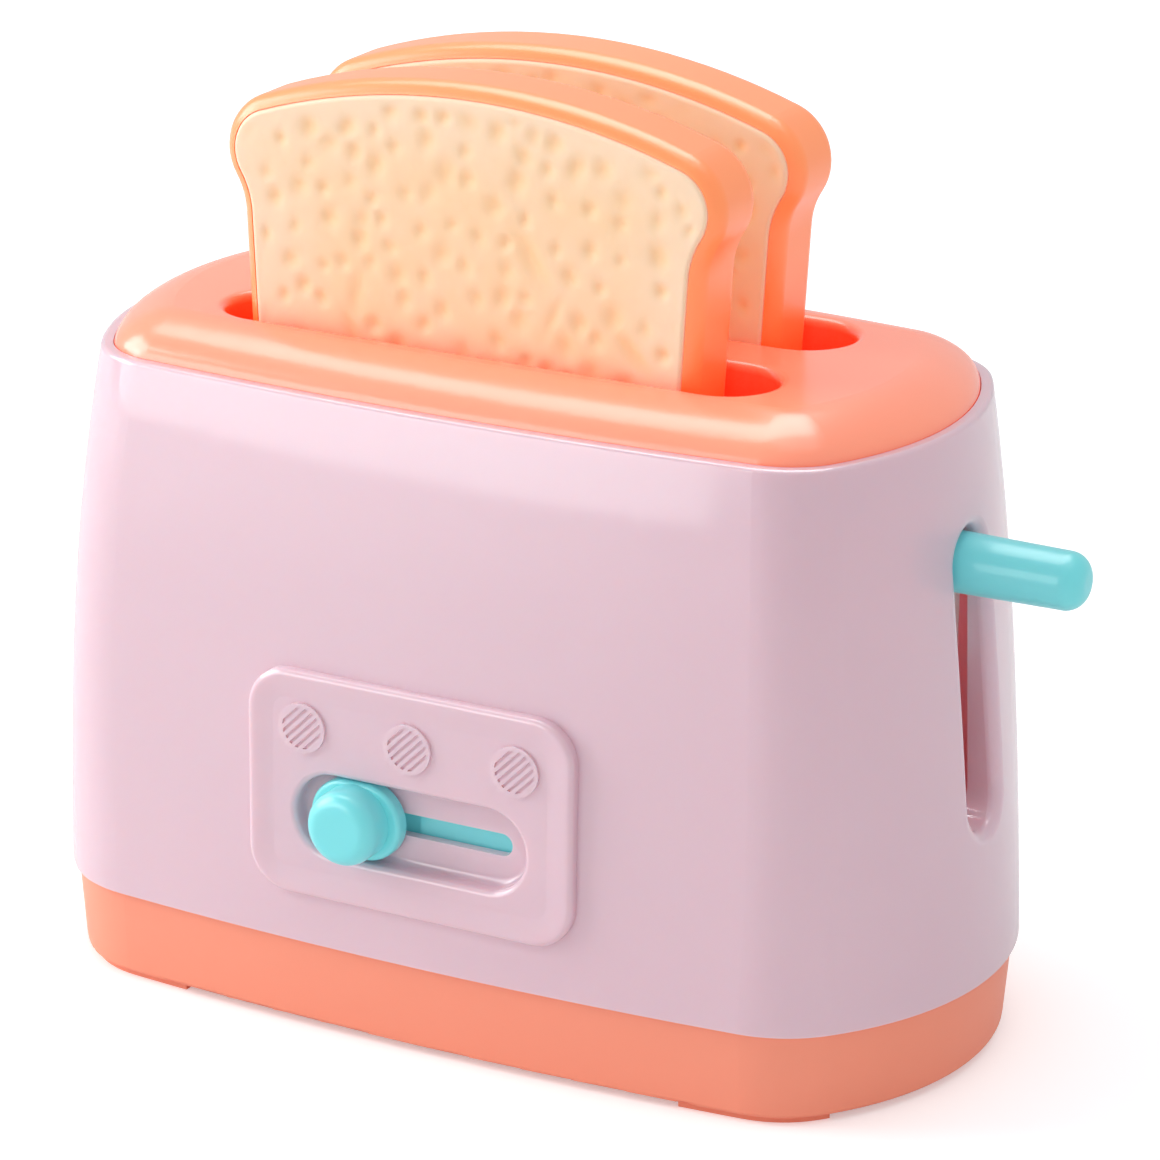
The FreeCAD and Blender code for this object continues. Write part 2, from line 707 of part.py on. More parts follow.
def add_lever_slot(body):
    """Thicken the end wall round the slot for the lever, cut the slot and soften its edge."""
    guard = sketch(body, "SlotGuard", "XZ_Plane", lift="lever_slot_wide / 2 + slot_guard_wide")
    inner, outer = [], []
    for height in ("(lever_slot_bottom - slot_guard_wide)", "(lever_slot_top + slot_guard_wide)"):
        end = ring_sizes(height)[0]
        inner.append((f"min({lever_root} + slot_guard_gap; {end} - shell_wall)", height))
        outer.append((f"{end} - 0.6 * shell_wall", height))
    draw_outline(guard, inner + outer[::-1])
    pad(body, guard, "lever_slot_wide + 2 * slot_guard_wide", back=True)
    slot = sketch(body, "LeverSlot", "YZ_Plane", y="(lever_slot_bottom + lever_slot_top) / 2",
                  lift="shell_half_long + 5")
    draw_pill(slot, "lever_slot_top - lever_slot_bottom", "lever_slot_wide", upright=True)
    pocket(body, slot, "5 + shell_half_long - rim_half_long + 2 * shell_wall")
    half = value("lever_slot_wide / 2")

    def outside(edge):
        point = edge.valueAt((edge.FirstParameter + edge.LastParameter) / 2)
        middle = value(f"{ring_sizes(str(point.z))[0]} - shell_wall / 2")
        return point.x > middle and within(edge, y=(-half, half))

    round_edges(body, "LeverSlotRound", "lever_slot_round", outside)


def add_frame_bosses(body):
    """Add the two bosses that the slider frame is screwed to."""
    places = [(f"{side}frame_ear_x", "strip_height") for side in ("", "-")]
    bosses = sketch(body, "FrameBosses", "XZ_Plane", lift=frame_front)
    holes = sketch(body, "FrameHoles", "XZ_Plane", lift=frame_front)
    for x, y in places:
        draw_circle(bosses, "frame_boss_wide", x, y)
        draw_circle(holes, "slide_screw_wide + pilot_slack", x, y)
    pad(body, bosses, f"shell_half_wide - 1.2 * shell_wall - {frame_front}")
    pocket(body, holes, "shell_wall", ahead=True)


def build_top_cover():
    """Coral top cover with its soft crown, two bread chutes, screw posts and rod tubes."""
    body = new_body("top_cover")
    edge_inset = "(rim_wall + cover_gap)"
    slot_end_sag = "rim_front_bow * (bread_slot_long / 2 / rim_half_long)^2"
    slot_side = "(bread_half_pitch + bread_slot_wide / 2)"
    crown_reach = f"(rim_half_wide - {edge_inset} - {slot_end_sag} - {slot_side} - crown_land)"
    edge = ring_sketch(body, "Edge", ledge_top, "shell_tall", edge_inset)
    pad(body, edge, "cover_edge_tall")
    crown = []
    for number, share in enumerate((0, 0.08, 0.27, 0.58, 1)):
        rise = f"(1 - (1 - {share})^crown_power)^(1 / crown_power)"
        crown.append(ring_sketch(body, f"Crown{number}", f"shell_tall + crown_tall * {rise}",
                                 "shell_tall", f"{edge_inset} + {crown_reach} * {share}"))
    loft(body, crown)
    hollow = ring_sketch(body, "Hollow", ledge_top, "shell_tall", f"{edge_inset} + cover_edge_wide")
    pocket(body, hollow, f"{cover_ceiling} - {ledge_top}", ahead=True)
    sides = ("bread_half_pitch", "-bread_half_pitch")
    for number, y in enumerate(sides):
        chute = sketch(body, f"Chute{number}", "XY_Plane", "bread_slot_mid", y, "chute_bottom")
        draw_pill(chute, "bread_slot_long + 2 * chute_wall", "bread_slot_wide + 2 * chute_wall")
        pad(body, chute, f"{cover_ceiling} + 1 - chute_bottom")
    posts = circles(body, "Posts", "post_bottom", "post_wide", post_places)
    pad(body, posts, f"{cover_ceiling} + post_root - post_bottom")
    tubes = circles(body, "RodTubes", tube_bottom, "rod_tube_wide", rod_places)
    pad(body, tubes, f"{cover_ceiling} + post_root - {tube_bottom}")
    for number, y in enumerate(sides):
        slot = sketch(body, f"BreadSlot{number}", "XY_Plane", "bread_slot_mid", y,
                      "shell_tall + crown_tall + 1")
        draw_pill(slot, "bread_slot_long", "bread_slot_wide")
        pocket(body, slot, "shell_tall + crown_tall + 2 - chute_bottom")
    top = value("shell_tall + crown_tall")
    reach = value("bread_slot_long / 2 + chute_wall")
    round_edges(body, "SlotLips", "min(bread_slot_round; 0.97 * crown_land)",
                lambda edge: within(edge, x=(-reach, reach), z=(top, top)))
    pilots = circles(body, "PostHoles", "post_bottom", "screw_wide + pilot_slack", post_places)
    pocket(body, pilots, "post_hole_deep", ahead=True)
    sockets = circles(body, "RodSockets", tube_bottom, "rod_wide + rod_slack", rod_places)
    pocket(body, sockets, "rod_socket_deep", ahead=True)


def build_base_tub():
    """Coral base tub with corner feet, an upstand that enters the shell, and bosses."""
    body = new_body("base_tub")
    top = ring_sketch(body, "TubTop", "0", "0", "base_inset")
    low = ring_sketch(body, "TubBottom", base_bottom, "0", "base_inset + base_lean")
    loft(body, [top, low])
    floor = value(base_bottom)
    round_edges(body, "TubRound", "base_edge_round", lambda edge: within(edge, z=(floor, floor)))
    inner = "shell_wall + upstand_gap"
    loft(body, [ring_sketch(body, "UpstandLow", "0", "0", inner),
                ring_sketch(body, "UpstandHigh", "upstand_tall", "upstand_tall", inner)])
    hollow = ring_sketch(body, "TubHollow", "upstand_tall", "0", "base_inset + base_lean + base_wall")
    pocket(body, hollow, f"upstand_tall - {base_floor_top}")
    bosses = circles(body, "ScrewBosses", base_floor_top, "base_boss_wide", post_places)
    pad(body, bosses, f"post_bottom - {base_floor_top}")
    rods = circles(body, "RodBosses", base_floor_top, "rod_boss_wide", rod_places)
    pad(body, rods, f"rod_boss_top - {base_floor_top}")
    feet = ring_sketch(body, "Feet", "-base_tall", "0", "foot_inset")
    pad(body, feet, "foot_tall")
    across = sketch(body, "FootGapX", "XY_Plane", lift="-base_tall")
    draw_box(across, "-foot_start_x", "foot_start_x", "-shell_half_wide", "shell_half_wide")
    pocket(body, across, "foot_tall", ahead=True)
    along = sketch(body, "FootGapY", "XY_Plane", lift="-base_tall")
    draw_box(along, "-shell_half_long", "shell_half_long", "-foot_start_y", "foot_start_y")
    pocket(body, along, "foot_tall", ahead=True)
    sockets = circles(body, "RodHoles", "rod_boss_top", "rod_wide + rod_slack", rod_places)
    pocket(body, sockets, "rod_boss_top - rod_bottom")
    holes = circles(body, "ScrewHoles", "post_bottom", "screw_wide + screw_slack", post_places)
    pocket(body, holes, "post_bottom + base_tall")
    heads = circles(body, "HeadHoles", "-base_tall", "screw_head_wide + screw_slack", post_places)
    pocket(body, heads, "screw_seat + base_tall", ahead=True)


def build_rods_and_springs():
    """Steel guide rods and the lift springs round them, left and right."""
    for side, sign in (("left", "-"), ("right", "")):
        x = f"{sign}rod_x"
        rod = cylinder(f"Bar_{side}", "rod_wide", f"{rod_top} - rod_bottom", x, "0", "rod_bottom")
        ends = doc.addObject("Part::Chamfer", f"Rod_{side}")
        ends.Base = rod
        doc.recompute()
        size = value("rod_chamfer")
        ends.Edges = [(i, size, size) for i, edge in enumerate(rod.Shape.Edges, 1)
                      if len(edge.Vertexes) == 1]
        keep(ends, f"guide_rod_{side}")
        build_spring(f"lift_spring_{side}", x)


def screw_set(label, axis, places, shank, head, drive):
    """Make alike screws: shank and head as (width, start, length), drive slots as (low, high)."""
    solids = []
    slots = []
    cross = ("drive_wide", f"0.7 * ({head[0]})")
    for number, (first, second) in enumerate(places):
        for name, (wide, start, long) in (("Shank", shank), ("Head", head)):
            spot = {"x": (start, first, second), "y": (first, start, second),
                    "z": (first, second, start)}[axis]
            solids.append(cylinder(f"{label}{name}{number}", wide, long, *spot, axis))
        for turn, (one, other) in enumerate((cross, cross[::-1])):
            spans = [(f"{first} - {one} / 2", f"{first} + {one} / 2"),
                     (f"{second} - {other} / 2", f"{second} + {other} / 2")]
            spans.insert("xyz".index(axis), drive)
            slots.append(block(f"{label}Slot{number}{turn}", spans))
    body = without(label, fused(f"{label}Solid", solids), fused(f"{label}Drive", slots))
    return keep(body, label)


def build_spring(label, x):
    """Wind one lift spring round its rod, between the tub's boss and the carriage's hub."""
    body = new_body(label)
    wire = sketch(body, "Wire", "XZ_Plane", x, "rod_boss_top + spring_wire / 2")
    draw_circle(wire, "spring_wire", "(spring_wide - spring_wire) / 2")
    coil = body.newObject("PartDesign::AdditiveHelix", "Coil")
    coil.Profile = wire
    coil.ReferenceAxis = (wire, ["V_Axis"])
    coil.Mode = "height-turns-angle"
    bind(coil, "Height", f"{hub_bottom} - spring_seat_gap - rod_boss_top - spring_wire")
    bind(coil, "Turns", "spring_turns")
    finish(body, coil)


def build_carriage():
    """Bread carriage: two trays on a plate, hubs on the rods, the lever's plate and a catch."""
    body = new_body("bread_carriage")
    reach = "(slice_half_foot + tray_end_gap + tray_wall)"
    left, right = f"(slice_mid - {reach})", f"(slice_mid + {reach})"
    half = "(bread_half_pitch + tray_wide / 2 + tray_wall)"
    plate = sketch(body, "Plate", "XY_Plane", lift=carriage_floor)
    draw_box(plate, left, right, f"-{half}", half)
    pad(body, plate, "floor_thick")
    for name, y in (("Rear", "bread_half_pitch"), ("Front", "-bread_half_pitch")):
        walls = sketch(body, f"{name}Tray", "XY_Plane", y=y, lift=carriage_floor)
        draw_box(walls, left, right, "-tray_wide / 2 - tray_wall", "tray_wide / 2 + tray_wall")
        pad(body, walls, "floor_thick + tray_wall_tall")
        inside = sketch(body, f"{name}TrayInside", "XY_Plane", y=y, lift="tray_floor + tray_wall_tall")
        draw_box(inside, f"{left} + tray_wall", f"{right} - tray_wall", "-tray_wide / 2", "tray_wide / 2")
        pocket(body, inside, "tray_wall_tall")
    for name, start, end in (("Left", "-rod_x", f"{left} + tray_wall"),
                             ("Right", f"{right} - tray_wall", lever_root)):
        arm = sketch(body, f"{name}Arm", "XY_Plane", lift="tray_floor - arm_wide")
        draw_box(arm, start, end, "-arm_wide / 2", "arm_wide / 2")
        pad(body, arm, "arm_wide")
    hubs = circles(body, "Hubs", hub_bottom, "hub_wide", rod_places)
    pad(body, hubs, "hub_tall")
    lever_plate = sketch(body, "LeverPlate", "YZ_Plane", lift="lever_plate_in")
    draw_box(lever_plate, "-lever_plate_wide / 2", "lever_plate_wide / 2", "tray_floor - arm_wide",
             "lever_height + lever_plate_over")
    pad(body, lever_plate, "lever_plate_thick")
    catch = sketch(body, "Catch", "XY_Plane", lift=carriage_floor)
    draw_box(catch, "catch_from", "catch_from + catch_long", "-catch_reach", f"tray_wall - {half}")
    pad(body, catch, "floor_thick + catch_rise")
    bores = circles(body, "Bores", hub_top, "rod_wide + hub_bore_slack", rod_places)
    pocket(body, bores, "hub_tall + 1")
    hole = sketch(body, "LeverHole", "YZ_Plane", lift=lever_root)
    draw_circle(hole, "screw_wide + screw_slack", "0", "lever_height")
    pocket(body, hole, "lever_plate_thick")


def build_lever():
    """Teal lever: a tapered round bar with a soft tip, screwed on from inside."""
    body = new_body("lever_handle")
    profile = sketch(body, "Profile", "XZ_Plane", y="lever_height")
    bore = "(screw_wide + pilot_slack) / 2"
    depth = f"{lever_root} + lever_screw_long - lever_plate_thick + pilot_past"
    draw_outline(profile, [(lever_root, bore), (depth, bore), (depth, "0"), ("lever_tip", "0"),
                           ("lever_tip", "lever_wide / 2"), (lever_root, "lever_root_wide / 2")])
    revolve(body, profile, "H_Axis")
    tip = value("lever_tip")
    round_edges(body, "TipRound", "lever_tip_round", lambda edge: within(edge, x=(tip, tip)))


def build_crust(label, y):
    """Crust of one slice: a rim with rounded edges round a thin web, seated for two crumb plates."""
    body = new_body(label)
    front = f"(slice_thick / 2 - ({y}))"
    back = f"(-slice_thick / 2 - ({y}))"
    outline = sketch(body, "Outline", "XZ_Plane", "slice_mid", slice_foot, front)
    draw_slice(outline)
    pad(body, outline, "slice_thick", back=True)
    for name, plane in (("FrontRound", front), ("BackRound", back)):
        level = -value(plane)
        round_edges(body, name, "crust_round", lambda edge: within(edge, y=(level, level)))
    for name, plane, ahead in (("Front", f"{front} + 1", False), ("Back", f"{back} - 1", True)):
        seat = sketch(body, f"{name}Seat", "XZ_Plane", "slice_mid", slice_foot, plane)
        draw_slice(seat, "crumb_inset")
        pocket(body, seat, "1 + crumb_thick - crumb_proud + crumb_gap", ahead)
        hollow = sketch(body, f"{name}Hollow", "XZ_Plane", "slice_mid",
                        f"{slice_foot} + slice_tall / 2", plane)
        draw_soft_box(hollow, "2 * (slice_half_foot - crumb_inset - crust_shelf)",
                      "slice_tall - 2 * (crumb_inset + crust_shelf + crust_web)", "slice_foot_round")
        pocket(body, hollow, "1 + (slice_thick - crust_web) / 2", ahead)


def build_crumb(label, y, facing_front):
    """Crumb plate: the pale face of a slice, set into the crust."""
    body = new_body(label)
    side = 1 if facing_front else -1
    plane = f"({side} * (slice_thick / 2 + crumb_proud) - ({y}))"
    outline = sketch(body, "Outline", "XZ_Plane", "slice_mid", slice_foot, plane)
    draw_slice(outline, "crumb_inset + crumb_gap")
    pad(body, outline, "crumb_thick", back=facing_front)
    level = -value(plane)
    round_edges(body, "FaceRound", "crumb_round", lambda edge: within(edge, y=(level, level)))


def build_slices():
    """Two slices of toy bread, one in each chute."""
    for place, y in (("front", "-bread_half_pitch"), ("rear", "bread_half_pitch")):
        build_crust(f"{place}_slice_crust", y)
        build_crumb(f"{place}_slice_crumb_front", y, True)
        build_crumb(f"{place}_slice_crumb_back", y, False)


def build_knob():
    """Teal browning knob: a domed button on a flange, with a stem through the slot."""
    body = new_body("browning_knob")
    flange_back = f"({recess_floor} + flange_gap)"
    flange = sketch(body, "Flange", "XZ_Plane", "knob_rest", "recess_height", "flange_front")
    draw_pill(flange, "flange_long", "flange_tall")
    pad(body, flange, f"flange_front - {flange_back}", back=True)
    front = -value("flange_front")
    round_edges(body, "FlangeRound", "flange_round", lambda edge: within(edge, y=(front, front)))
    button = sketch(body, "Button", "XZ_Plane", "knob_rest", "recess_height", "flange_front - 1")
    draw_circle(button, "knob_wide")
    pad(body, button, "knob_front - flange_front + 1")
    tip = -value("knob_front")
    round_edges(body, "ButtonRound", "knob_dome", lambda edge: within(edge, y=(tip, tip)))
    stem = sketch(body, "Stem", "XZ_Plane", "knob_rest", "recess_height", "flange_front - 1")
    draw_pill(stem, "stem_long", "stem_tall")
    pad(body, stem, f"flange_front - 1 - ({strip_front} - strip_step)", back=True)
    hole = sketch(body, "ScrewHole", "XZ_Plane", "knob_rest", "strip_height",
                  f"{strip_front} - strip_step")
    draw_circle(hole, "slide_screw_wide + pilot_slack")
    pocket(body, hole, "slide_screw_long - (strip_thick - strip_step) + pilot_past", ahead=True)


def build_strip():
    """Teal strip behind the slot, with a step at the knob and the hold-down finger."""
    body = new_body("slider_strip")
    strip = sketch(body, "Strip", "XZ_Plane", "knob_rest", "strip_height", strip_front)
    draw_box(strip, "-strip_long / 2", "strip_long / 2", "-strip_tall / 2", "strip_tall / 2")
    pad(body, strip, "strip_thick", back=True)
    step = sketch(body, "Step", "XZ_Plane", "knob_rest", "strip_height", strip_front)
    draw_box(step, "-strip_long / 2", "strip_step_from", "-strip_tall / 2", "strip_tall / 2")
    pocket(body, step, "strip_step")
    finger = sketch(body, "Finger", "XZ_Plane", "knob_rest", "finger_bottom",
                    f"{strip_back} + strip_thick / 2")
    draw_box(finger, "finger_from", "finger_from + finger_long", "0", "finger_tall")
    pad(body, finger, f"{strip_back} + strip_thick / 2 - finger_reach", back=True)
    hole = sketch(body, "ScrewHole", "XZ_Plane", "knob_rest", "strip_height", strip_front)
    draw_circle(hole, "slide_screw_wide + screw_slack")
    pocket(body, hole, "strip_thick + 1")


def build_frame():
    """Frame that holds the strip against the shell, with rails, a window and two ears."""
    body = new_body("slider_frame")
    plate = sketch(body, "Plate", "XZ_Plane", y="strip_height", lift=frame_front)
    draw_box(plate, "-frame_long / 2", "frame_long / 2", "-frame_tall / 2", "frame_tall / 2")
    pad(body, plate, "frame_thick", back=True)
    ears = sketch(body, "Ears", "XZ_Plane", y="strip_height", lift=frame_front)
    ear = "frame_ear_x + frame_ear_wide / 2"
    draw_box(ears, f"-({ear})", ear, "-frame_ear_wide / 2", "frame_ear_wide / 2")
    pad(body, ears, "frame_thick", back=True)
    inner = "(strip_tall / 2 + strip_gap)"
    for name, low, high in (("Upper", inner, "frame_tall / 2"), ("Lower", "-frame_tall / 2", f"-{inner}")):
        rail = sketch(body, f"{name}Rail", "XZ_Plane", y="strip_height", lift=panel_back)
        draw_box(rail, "-frame_long / 2", "frame_long / 2", low, high)
        pad(body, rail, f"{panel_back} - {frame_front} + frame_thick / 2", back=True)
    window = sketch(body, "Window", "XZ_Plane", y="strip_height", lift=panel_back)
    draw_box(window, "window_from", "window_to", "-window_tall / 2", "window_tall / 2")
    pocket(body, window, f"{panel_back} - {frame_back} + 1")
    holes = sketch(body, "Holes", "XZ_Plane", lift=panel_back)
    for side in ("", "-"):
        draw_circle(holes, "slide_screw_wide + screw_slack", f"{side}frame_ear_x", "strip_height")
    pocket(body, holes, f"{panel_back} - {frame_back} + 1")


def build_screws():
    """Screws for the base, the lever, the knob and the slider frame."""
    screw_set("base_screws", "z", post_places, ("screw_wide", "screw_seat", "screw_long"),
              ("screw_head_wide", "screw_seat - screw_head_tall", "screw_head_tall"),
              ("screw_seat - screw_head_tall", "screw_seat - screw_head_tall / 2"))
    screw_set("lever_screw", "x", [("0", "lever_height")],
              ("screw_wide", "lever_plate_in", "lever_screw_long"),
              ("screw_head_wide", "lever_plate_in - screw_head_tall", "screw_head_tall"),
              ("lever_plate_in - screw_head_tall", "lever_plate_in - screw_head_tall / 2"))
    for label, back, places in (("knob_screw", strip_back, [("knob_rest", "strip_height")]),
                                ("frame_screws", frame_back, [(f"{side}frame_ear_x", "strip_height")
                                                              for side in ("", "-")])):
        long = "slide_screw_long" if label == "knob_screw" else "frame_screw_long"
        screw_set(label, "y", places, ("slide_screw_wide", f"-{back} - {long}", long),
                  ("slide_head_wide", f"-{back}", "slide_head_tall"),
                  (f"slide_head_tall / 2 - {back}", f"slide_head_tall - {back}"))


def place_pieces():
    """Shift every sub-part from the shell's frame to the floor and the footprint's centre."""
    for piece in pieces:
        bind(piece, "Placement.Base.x", "(shell_half_long - lever_tip) / 2")
        bind(piece, "Placement.Base.y", "(knob_front - shell_half_wide) / 2")
        bind(piece, "Placement.Base.z", "base_tall")
    doc.recompute()


def write_pieces():
    """Check every object, then write each sub-part to a file of its own."""
    for item in doc.Objects:
        if {"Invalid", "Error"} & set(item.State):
            raise RuntimeError(f"{item.Label} failed: {item.State}")
    for piece in pieces:
        if piece.Shape.isNull() or not piece.Shape.isValid():
            raise RuntimeError(f"{piece.Label} has no valid shape")
    os.makedirs("parts", exist_ok=True)
    for piece in pieces:
        piece.Shape.exportStep(f"parts/{piece.Label}.step")
        print(piece.Label, len(piece.Shape.Solids), round(piece.Shape.Volume))


build_shell()
build_top_cover()
build_base_tub()
build_rods_and_springs()
build_carriage()
build_lever()
build_slices()
build_knob()
build_strip()
build_frame()
build_screws()
place_pieces()
write_pieces()
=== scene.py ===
"""Toy toaster with two slices of toy bread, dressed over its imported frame."""
import logging
import math
import random
from dataclasses import dataclass, field
from enum import Enum
from typing import ClassVar

import bmesh
import bpy
import numpy as np
from mathutils import Matrix, Vector, geometry, noise


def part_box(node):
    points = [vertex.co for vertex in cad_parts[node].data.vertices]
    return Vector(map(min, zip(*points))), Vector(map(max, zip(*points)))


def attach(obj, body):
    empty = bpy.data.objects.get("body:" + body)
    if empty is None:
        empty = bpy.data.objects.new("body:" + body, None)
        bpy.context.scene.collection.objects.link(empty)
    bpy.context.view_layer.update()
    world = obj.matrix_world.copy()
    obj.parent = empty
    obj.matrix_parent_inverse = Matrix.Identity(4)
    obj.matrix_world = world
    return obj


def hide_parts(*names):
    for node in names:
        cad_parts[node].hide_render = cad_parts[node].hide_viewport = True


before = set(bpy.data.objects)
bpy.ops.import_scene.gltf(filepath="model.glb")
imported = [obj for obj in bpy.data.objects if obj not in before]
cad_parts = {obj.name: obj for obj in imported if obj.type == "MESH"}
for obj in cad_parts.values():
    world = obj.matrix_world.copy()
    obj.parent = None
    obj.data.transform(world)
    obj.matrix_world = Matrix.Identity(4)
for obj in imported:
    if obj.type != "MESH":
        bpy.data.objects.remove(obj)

MM = 0.001
PLASTIC_IOR = 1.5
SCREEN_TOP = 255
SCREEN_TOE = 0.04045
SCREEN_TOE_SLOPE = 12.92
SCREEN_OFFSET = 0.055
SCREEN_POWER = 2.4
log = logging.getLogger("toaster")

Colour = tuple[float, float, float]
Place = tuple[float, float, float]


def linear(red: int, green: int, blue: int) -> Colour:
    """Turn a screen colour into a linear one.

    Args:
        red: Red from 0 to 255.
        green: Green from 0 to 255.
        blue: Blue from 0 to 255.

    Returns:
        The linear colour.
    """
    parts = []
    for part in (red, green, blue):
        share = part / SCREEN_TOP
        if share <= SCREEN_TOE:
            parts.append(share / SCREEN_TOE_SLOPE)
        else:
            parts.append(((share + SCREEN_OFFSET) / (1 + SCREEN_OFFSET)) ** SCREEN_POWER)
    return (parts[0], parts[1], parts[2])


class Graph:
    """Small helper that builds a material's node tree.

    Attributes:
        material: The material.
        tree: Its node tree.
        shader: Its shader.
        place: The object's own coordinates.
    """

    def __init__(self, name: str) -> None:
        """Start a material.

        Args:
            name: The material's name.
        """
        self.material = bpy.data.materials.new(name)
        self.material.use_nodes = True
        self.tree = self.material.node_tree
        self.tree.nodes.clear()
        self.shader = self.add("ShaderNodeBsdfPrincipled")
        output = self.add("ShaderNodeOutputMaterial")
        self.link(self.shader.outputs["BSDF"], output.inputs["Surface"])
        self.place = self.add("ShaderNodeTexCoord").outputs["Object"]

    def add(self, kind: str, **values: object) -> bpy.types.Node:
        """Add a node and set its properties or its inputs by name.

        Args:
            kind: Blender's name for the node type.
            **values: Property values, or input values with spaces written as underscores.

        Returns:
            The new node.
        """
        node = self.tree.nodes.new(kind)
        for key, value in values.items():
            label = key.replace("_", " ")
            if label in node.inputs:
                node.inputs[label].default_value = value
            else:
                setattr(node, key, value)
        return node

    def link(self, source: bpy.types.NodeSocket, target: bpy.types.NodeSocket) -> None:
        """Join two sockets.

        Args:
            source: The output to read.
            target: The input that reads it.
        """
        self.tree.links.new(source, target)

    def noise(self, scale: float, detail: float = 2.0) -> bpy.types.NodeSocket:
        """Add noise over the object's own coordinates.

        Args:
            scale: Number of cells in a metre.
            detail: Octaves of finer noise.

        Returns:
            The noise value's socket.
        """
        node = self.add("ShaderNodeTexNoise", Scale=scale, Detail=detail, Roughness=0.5)
        self.link(self.place, node.inputs["Vector"])
        return node.outputs["Fac"]

    def spread(self, value: bpy.types.NodeSocket, low: float, high: float,
               start: float = 0.35, end: float = 0.65) -> bpy.types.NodeSocket:
        """Map a value's middle range to another range.

        Args:
            value: The socket to map.
            low: Result at the start.
            high: Result at the end.
            start: Value that gives the low result.
            end: Value that gives the high result.

        Returns:
            The mapped value's socket.
        """
        node = self.add("ShaderNodeMapRange", From_Min=start, From_Max=end, To_Min=low, To_Max=high)
        self.link(value, node.inputs["Value"])
        return node.outputs["Result"]

    def blend(self, share: bpy.types.NodeSocket, first: Colour | bpy.types.NodeSocket,
              second: Colour | bpy.types.NodeSocket) -> bpy.types.NodeSocket:
        """Mix two colours.

        Args:
            share: Share of the second colour.
            first: The first colour, or a socket.
            second: The second colour, or a socket.

        Returns:
            The mixed colour's socket.
        """
        node = self.add("ShaderNodeMix", data_type="RGBA")
        self.link(share, node.inputs["Factor"])
        pair = [item for item in node.inputs if item.type == "RGBA"]
        for socket, colour in zip(pair, (first, second)):
            if isinstance(colour, bpy.types.NodeSocket):
                self.link(colour, socket)
            else:
                socket.default_value = (*colour, 1.0)
        return next(item for item in node.outputs if item.type == "RGBA")

    def height(self) -> bpy.types.NodeSocket:
        """Read a point's height.

        Returns:
            The height's socket, in metres.
        """
        parts = self.add("ShaderNodeSeparateXYZ")
        self.link(self.place, parts.inputs["Vector"])
        return parts.outputs["Z"]

    def attribute(self, name: str) -> bpy.types.NodeSocket:
        """Read a value that is stored on the mesh.

        Args:
            name: The attribute's name.

        Returns:
            The value's socket.
        """
        return self.add("ShaderNodeAttribute", attribute_name=name).outputs["Fac"]

    def bump(self, height: bpy.types.NodeSocket, distance: float,
             before: bpy.types.NodeSocket | None = None) -> bpy.types.NodeSocket:
        """Add a bump of a real depth.

        Args:
            height: Height from 0 to 1.
            distance: Depth in metres.
            before: A normal that the bump adds to.

        Returns:
            The normal's socket.
        """
        node = self.add("ShaderNodeBump", Strength=1.0, Distance=distance)
        self.link(height, node.inputs["Height"])
        if before is not None:
            self.link(before, node.inputs["Normal"])
        return node.outputs["Normal"]


